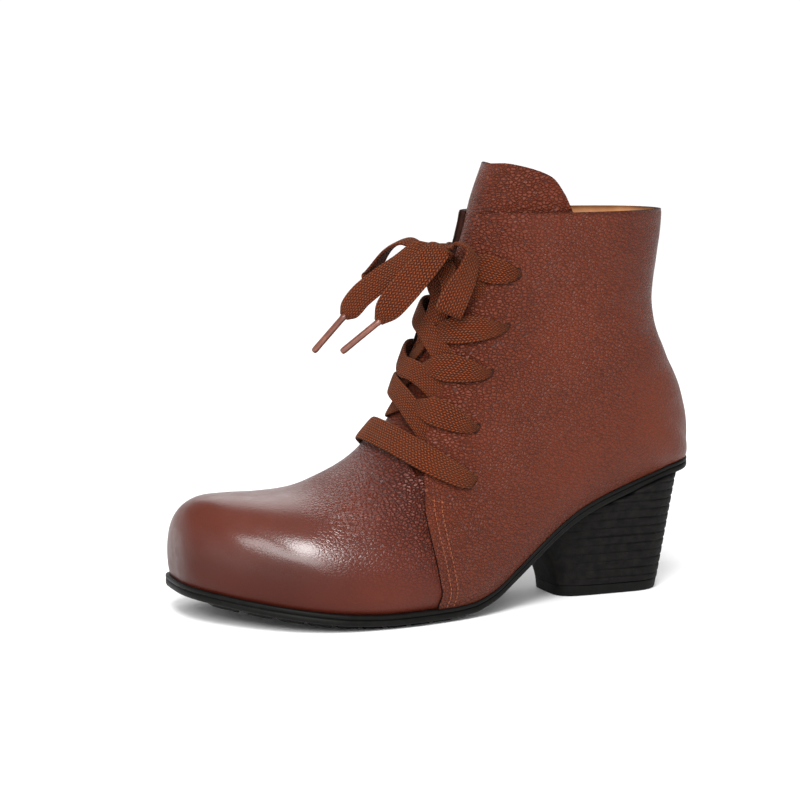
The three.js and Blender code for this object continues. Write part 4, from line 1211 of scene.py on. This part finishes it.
def innerSide(x, z):
    # the point of the inner side nearest a place seen from the side, and its normal
    away = (innerGrid[..., 0] - x) ** 2 + (innerGrid[..., 2] - z) ** 2
    i, j = np.unravel_index(np.argmin(away), away.shape)
    return innerGrid[i, j], lastNormal(innerRows[i], innerTurns[j])


def zipLine(dx, off, count=60):
    points, normals = [], []
    for z in np.linspace(zipSizes["low"], zipSizes["high"], count):
        p, n = innerSide(zipSizes["x"], z)
        points.append(p + n * off)
        normals.append(n)
    points, normals = np.array(points), np.array(normals)
    kernel = np.ones(7) / 7
    for k in range(3):
        padded = np.concatenate([np.full(3, points[0, k]), points[:, k], np.full(3, points[-1, k])])
        points[:, k] = np.convolve(padded, kernel, "valid")
    points[:, 0] = zipSizes["x"] + dx
    points[:, 2] = np.linspace(zipSizes["low"], zipSizes["high"], count)
    return points, normals


def makeZip():
    s = zipSizes
    line, normals = zipLine(0, s["off"])
    tape = np.stack([line + np.array([dx, 0, 0]) - normals * s["tapeDepth"]
                     for dx in np.linspace(-s["tape"], s["tape"], 5)], 1)
    tapePiece = meshObject("zipTape", tape.reshape(-1, 3), gridFaces(tape.shape[0], tape.shape[1]))
    tapePiece.data.materials.append(zipTape)
    walls = []
    outer, inner = quarterSizes["outer"] - 0.1, -quarterSizes["wall"]
    for dx in (-quarterSizes["zipHalf"], quarterSizes["zipHalf"]):
        wall = np.stack([zipLine(dx, off)[0] for off in (outer, inner)], 1)
        faces = gridFaces(wall.shape[0], 2)
        walls.append(meshObject("zipWall", wall.reshape(-1, 3), faces, smooth=False))
        walls[-1].data.materials.append(rawEdge)
    rows = [zipLine(dx, quarterSizes["outer"] + 0.1, 140)[0] for dx in (-s["beside"], s["beside"])]
    stitched = grow("zipStitches", rows, stitchRow, stitchInputs)
    # one row of teeth on each side, half a pitch apart
    sides = [line - np.array([s["teeth"], 0, 0]), line[:-1] + np.array([s["teeth"], 0, s["stagger"]])]
    toothRow = rowTree("zipTeeth", "GeometryNodeMeshCube", {}, False, zipSteel)
    teeth = grow("zipTeeth", sides, toothRow, toothInputs)
    return (tapePiece, teeth), stitched, walls


zipPieces, zipStitches, zipWalls = makeZip()
for piece in zipPieces:
    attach(piece, "boot")
    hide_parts("zip_chain")
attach(zipStitches, "boot")
for piece in zipWalls:
    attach(piece, "boot")
for node in ("zip_slider", "zip_pull"):
    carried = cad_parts[node]
    for k in range(len(carried.material_slots)):
        carried.material_slots[k].material = zipSteel
print("zip ready")

# bow: both cords from the throat through the knot, a loop and back to an end. The loops and ends
# repeat the CAD model's routes: place from the knot's middle in mm, way of the width, share of width.
knotSizes = dict(row=15.1, turn=8.8, off=10.625, radius=5.1, width=10.5, thick=1.9, turns=1.15, steps=70,
                 lean=1.2, sway=0.6, stretch=1.1, towards=(0.39, 0.91, 0.14), aside=(-0.92, 0.39, 0.0))
knotPlace = onLast(knotSizes["row"], math.radians(knotSizes["turn"]), knotSizes["off"])
bowSizes = dict(steps=340, thick=2.6, thinning=0.06, thinnest=1.7)
agletSizes = dict(frontTip=(45, -6.5, -42.5), backTip=(51.5, -26, -44), width=3.6, around=24)

outerThroat = [
    (4.5, -5.5, -43, 0.6, -0.6, 0.3, 0.75), (4, -1, -35.5, 0.6, -0.6, 0.3, 0.85),
    (1.5, 2, -27, 0.6, -0.6, 0.3, 0.9), (-1, 2.5, -16.5, 0.6, -0.7, 0.1, 0.9),
    (-1, 1.5, -7.5, 0.5, -0.7, 0, 0.75), (-1.5, -1, -1, 0, -1, 0, 0.6), (-3, 3.5, 4, -0.6, -0.8, 0.1, 0.65),
]
outerLoop = [
    (-5.5, 6.5, 5.5, -0.7, -0.7, 0.2, 0.75), (-7.5, 9, 6.5, -0.8, -0.6, -0.1, 0.9),
    (-10.5, 14.5, 2.5, -0.7, -0.6, -0.4, 1), (-8.5, 16, -5, -0.9, -0.3, -0.3, 1),
    (-4.5, 15.5, -13, -0.9, 0.1, -0.4, 1.05), (-0.5, 15.5, -20.5, -0.9, 0.2, -0.4, 1.1),
    (0.5, 14, -24, -0.9, 0.2, -0.4, 1.1), (-0.5, 11, -23, -0.9, 0.2, -0.4, 1),
    (-3, 9, -14, -0.9, 0.2, -0.3, 0.8), (-2, 4.5, -5, -1, 0.1, 0.1, 0.8),
]
frontTurn = [(0.5, 2.5, 0.5, -0.7, 0.6, -0.2, 0.6), (-2, 5.5, 3, -0.2, 0.9, -0.5, 0.75)]
frontEnd = [
    (1.5, 6.5, 4.5, -0.6, 0.7, -0.4, 1), (5.5, 8, 1.5, -0.6, 0.7, -0.5, 1.1),
    (12, 8.5, -5, -0.6, 0.6, -0.6, 1.15), (20, 5.5, -15, -0.6, 0.5, -0.6, 1.15),
    (26, 2.5, -23, -0.6, 0.4, -0.6, 1), (29.5, 0.5, -28.5, -0.7, 0.4, -0.6, 0.38),
]
innerThroat = [
    (-3, -3.5, -20, 0.6, -0.6, -0.1, 0.75), (1, -2, -10.5, 0.6, -0.6, -0.1, 0.75),
    (2, -2, -2.5, 0.7, -0.3, -0.1, 0.6), (4, -4.5, 2.5, 0.8, 0.4, -0.2, 0.65),
]
innerLoop = [
    (6.5, -7, 4.5, 0.8, 0.5, -0.2, 0.75), (11, -12.5, 7, 0.8, 0.6, -0.2, 0.9),
    (16, -20.5, 3, 0.7, 0.7, -0.1, 1), (20.5, -25.5, -5.5, 0.7, 0.6, 0.1, 1),
    (22.5, -27, -10, 0.8, 0.5, 0.2, 1), (23, -24.5, -12.5, 0.8, 0.5, 0.3, 1),
    (21, -19.5, -11.5, 0.8, 0.4, 0.4, 1), (17, -14, -8.5, 0.8, 0.3, 0.5, 0.95),
    (11.5, -6.5, -3.5, 0.6, 0.1, 0.8, 0.85), (6.5, -2, -1.5, 0.4, 0, 0.9, 0.75),
]
backTurn = [(2.5, 0.5, 0.5, 0.2, -0.4, 0.8, 0.6), (3.5, 2, 3.5, 0, -0.7, 0.7, 0.65)]
backEnd = [
    (6.5, 1.5, 3.5, 0, -0.7, 0.7, 0.85), (10.5, 0.5, 3, 0.1, -0.7, 0.7, 0.95),
    (17.5, -3.5, -3.5, 0.2, -0.7, 0.7, 1), (25, -9.5, -10.5, 0.3, -0.6, 0.8, 1),
    (32, -14.5, -17.5, 0.4, -0.6, 0.7, 1), (36.5, -17.5, -24, 0.5, -0.6, 0.6, 0.9),
    (39, -19, -27.5, 0.6, -0.5, 0.6, 0.38),
]


def makeAglet(name, start, tip):
    way = tip - start
    axis = unit(way)
    sideA = unit(np.cross(axis, [0.2, 0.3, 1.0]))
    sideB = np.cross(axis, sideA)
    radius = agletSizes["width"] / 2
    long = np.linalg.norm(way)
    # distance ahead, share of the width, and flatness, which is more where it grips the lace
    profile = [(-1.4, 0.7, 0.85), (-0.6, 0.98, 0.85), (0.5, 1.04, 0.85), (1.3, 0.96, 0.85),
               (0.93 * long, 0.92, 0.95), (0.985 * long, 0.78, 0.95), (long, 0.42, 0.95)]
    count = agletSizes["around"]
    a = np.linspace(0, 2 * np.pi, count, endpoint=False)[:, None]
    points = []
    for ahead, wide, flat in profile:
        ring = np.cos(a) * sideA + flat * np.sin(a) * sideB
        points.append(start + axis * ahead + ring * radius * wide)
    faces = [tuple(f) for f in gridFaces(len(profile), count, closed=True)]
    faces += [tuple(range(count))[::-1], tuple(range((len(profile) - 1) * count, len(profile) * count))]
    thing = meshObject(name, np.vstack(points), faces)
    thing.data.materials.append(agletPlastic)
    return thing


def makeBow():
    for name, route, tip, nodes in (
            ("bowCordOuter", outerThroat + outerLoop + frontTurn + frontEnd, "frontTip",
             ("bow_loop_outer", "bow_end_front", "aglet_front")),
            ("bowCordInner", innerThroat + innerLoop + backTurn + backEnd, "backTip",
             ("bow_loop_inner", "bow_end_back", "aglet_back"))):
        line = spline(np.array(route, float), bowSizes["steps"])
        centres = line[:, :3] + knotPlace
        ahead = unit(np.gradient(centres, axis=0))
        flats = np.cross(ahead, line[:, 3:6])
        width = laces["width"] * line[:, 6]
        thick = np.clip(bowSizes["thick"] - bowSizes["thinning"] * width, bowSizes["thinnest"], None)
        piece = ribbon(name, centres, unit(flats), width, thick)
        aglet = makeAglet(name.replace("bowCord", "aglet"), centres[-1], knotPlace + agletSizes[tip])
        for thing in (piece, aglet):
            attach(thing, "boot")
        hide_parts(*nodes[:2])
        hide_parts(nodes[2])


def makeKnot():
    s = knotSizes
    towards, aside = np.array(s["towards"]), np.array(s["aside"])
    up = np.cross(towards, aside)
    turn = np.linspace(0, 2 * np.pi * s["turns"], s["steps"])
    lean = np.linspace(-s["lean"], s["lean"], s["steps"])
    out = np.cos(turn)[:, None] * s["stretch"] * up + np.sin(turn)[:, None] * towards
    centres = knotPlace + out * s["radius"] + (lean - s["sway"] * np.cos(turn))[:, None] * aside
    piece = ribbon("bowKnot", centres, unit(out), s["width"], s["thick"])
    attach(piece, "boot")
    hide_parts("bow_knot")


makeBow()
makeKnot()
print("bow ready")

# floor and lights
studio = dict(floor=(0.94, 0.94, 0.94, 1), floorHalf=40.0, floorRough=0.7, horizon=1.06, sky=0.5,
              fade=(0.2, 0.42), aim=(0.08, 0, 0.09))
# name, kind, place in m, size in m or spread of the sun, height of a strip, power
lampRows = [
    ("keySoftbox", "AREA", (0.70, 0.74, 0.62), 1.2, 0.34, 9.5),
    ("rimSoftbox", "AREA", (-0.1, -0.95, 0.85), 0.8, None, 4.0),
    ("softSun", "SUN", (0.45, 0.73, 1.25), math.radians(24), None, 2.4),
]


def makeStudio():
    data = bpy.data.meshes.new("floor")
    half = studio["floorHalf"]
    data.from_pydata([(-half, -half, 0), (half, -half, 0), (half, half, 0), (-half, half, 0)], [],
                     [(0, 1, 2, 3)])
    floor = bpy.data.objects.new("floor", data)
    bpy.context.collection.objects.link(floor)
    material, _, shader = newMaterial("paleFloor")
    shader.inputs["Base Color"].default_value = studio["floor"]
    shader.inputs["Roughness"].default_value = studio["floorRough"]
    data.materials.append(material)
    world = bpy.data.worlds.new("studioAir")
    world.use_nodes = True
    tree = world.node_tree
    background = tree.nodes["Background"]
    background.inputs[0].default_value = (1, 1, 1, 1)
    # white at the horizon, dimmer overhead
    parts = tree.nodes.new("ShaderNodeSeparateXYZ")
    towards = tree.nodes.new("ShaderNodeTexCoord").outputs["Generated"]
    tree.links.new(towards, parts.inputs[0])
    strength = remap(tree, parts.outputs[2], *studio["fade"], studio["horizon"], studio["sky"])
    tree.links.new(strength, background.inputs[1])
    bpy.context.scene.world = world
    for name, kind, place, size, height, power in lampRows:
        lamp = bpy.data.lights.new(name, kind)
        lamp.energy = power
        if kind == "SUN":
            lamp.angle = size
        else:
            lamp.size = size
        if height:
            lamp.shape = "RECTANGLE"
            lamp.size_y = height
        thing = bpy.data.objects.new(name, lamp)
        thing.location = place
        towards = Vector(studio["aim"]) - Vector(place)
        thing.rotation_euler = towards.to_track_quat("-Z", "Y").to_euler()
        bpy.context.collection.objects.link(thing)


makeStudio()
bpy.context.scene.view_settings.view_transform = "Standard"  # colours as they were chosen
print("studio ready")
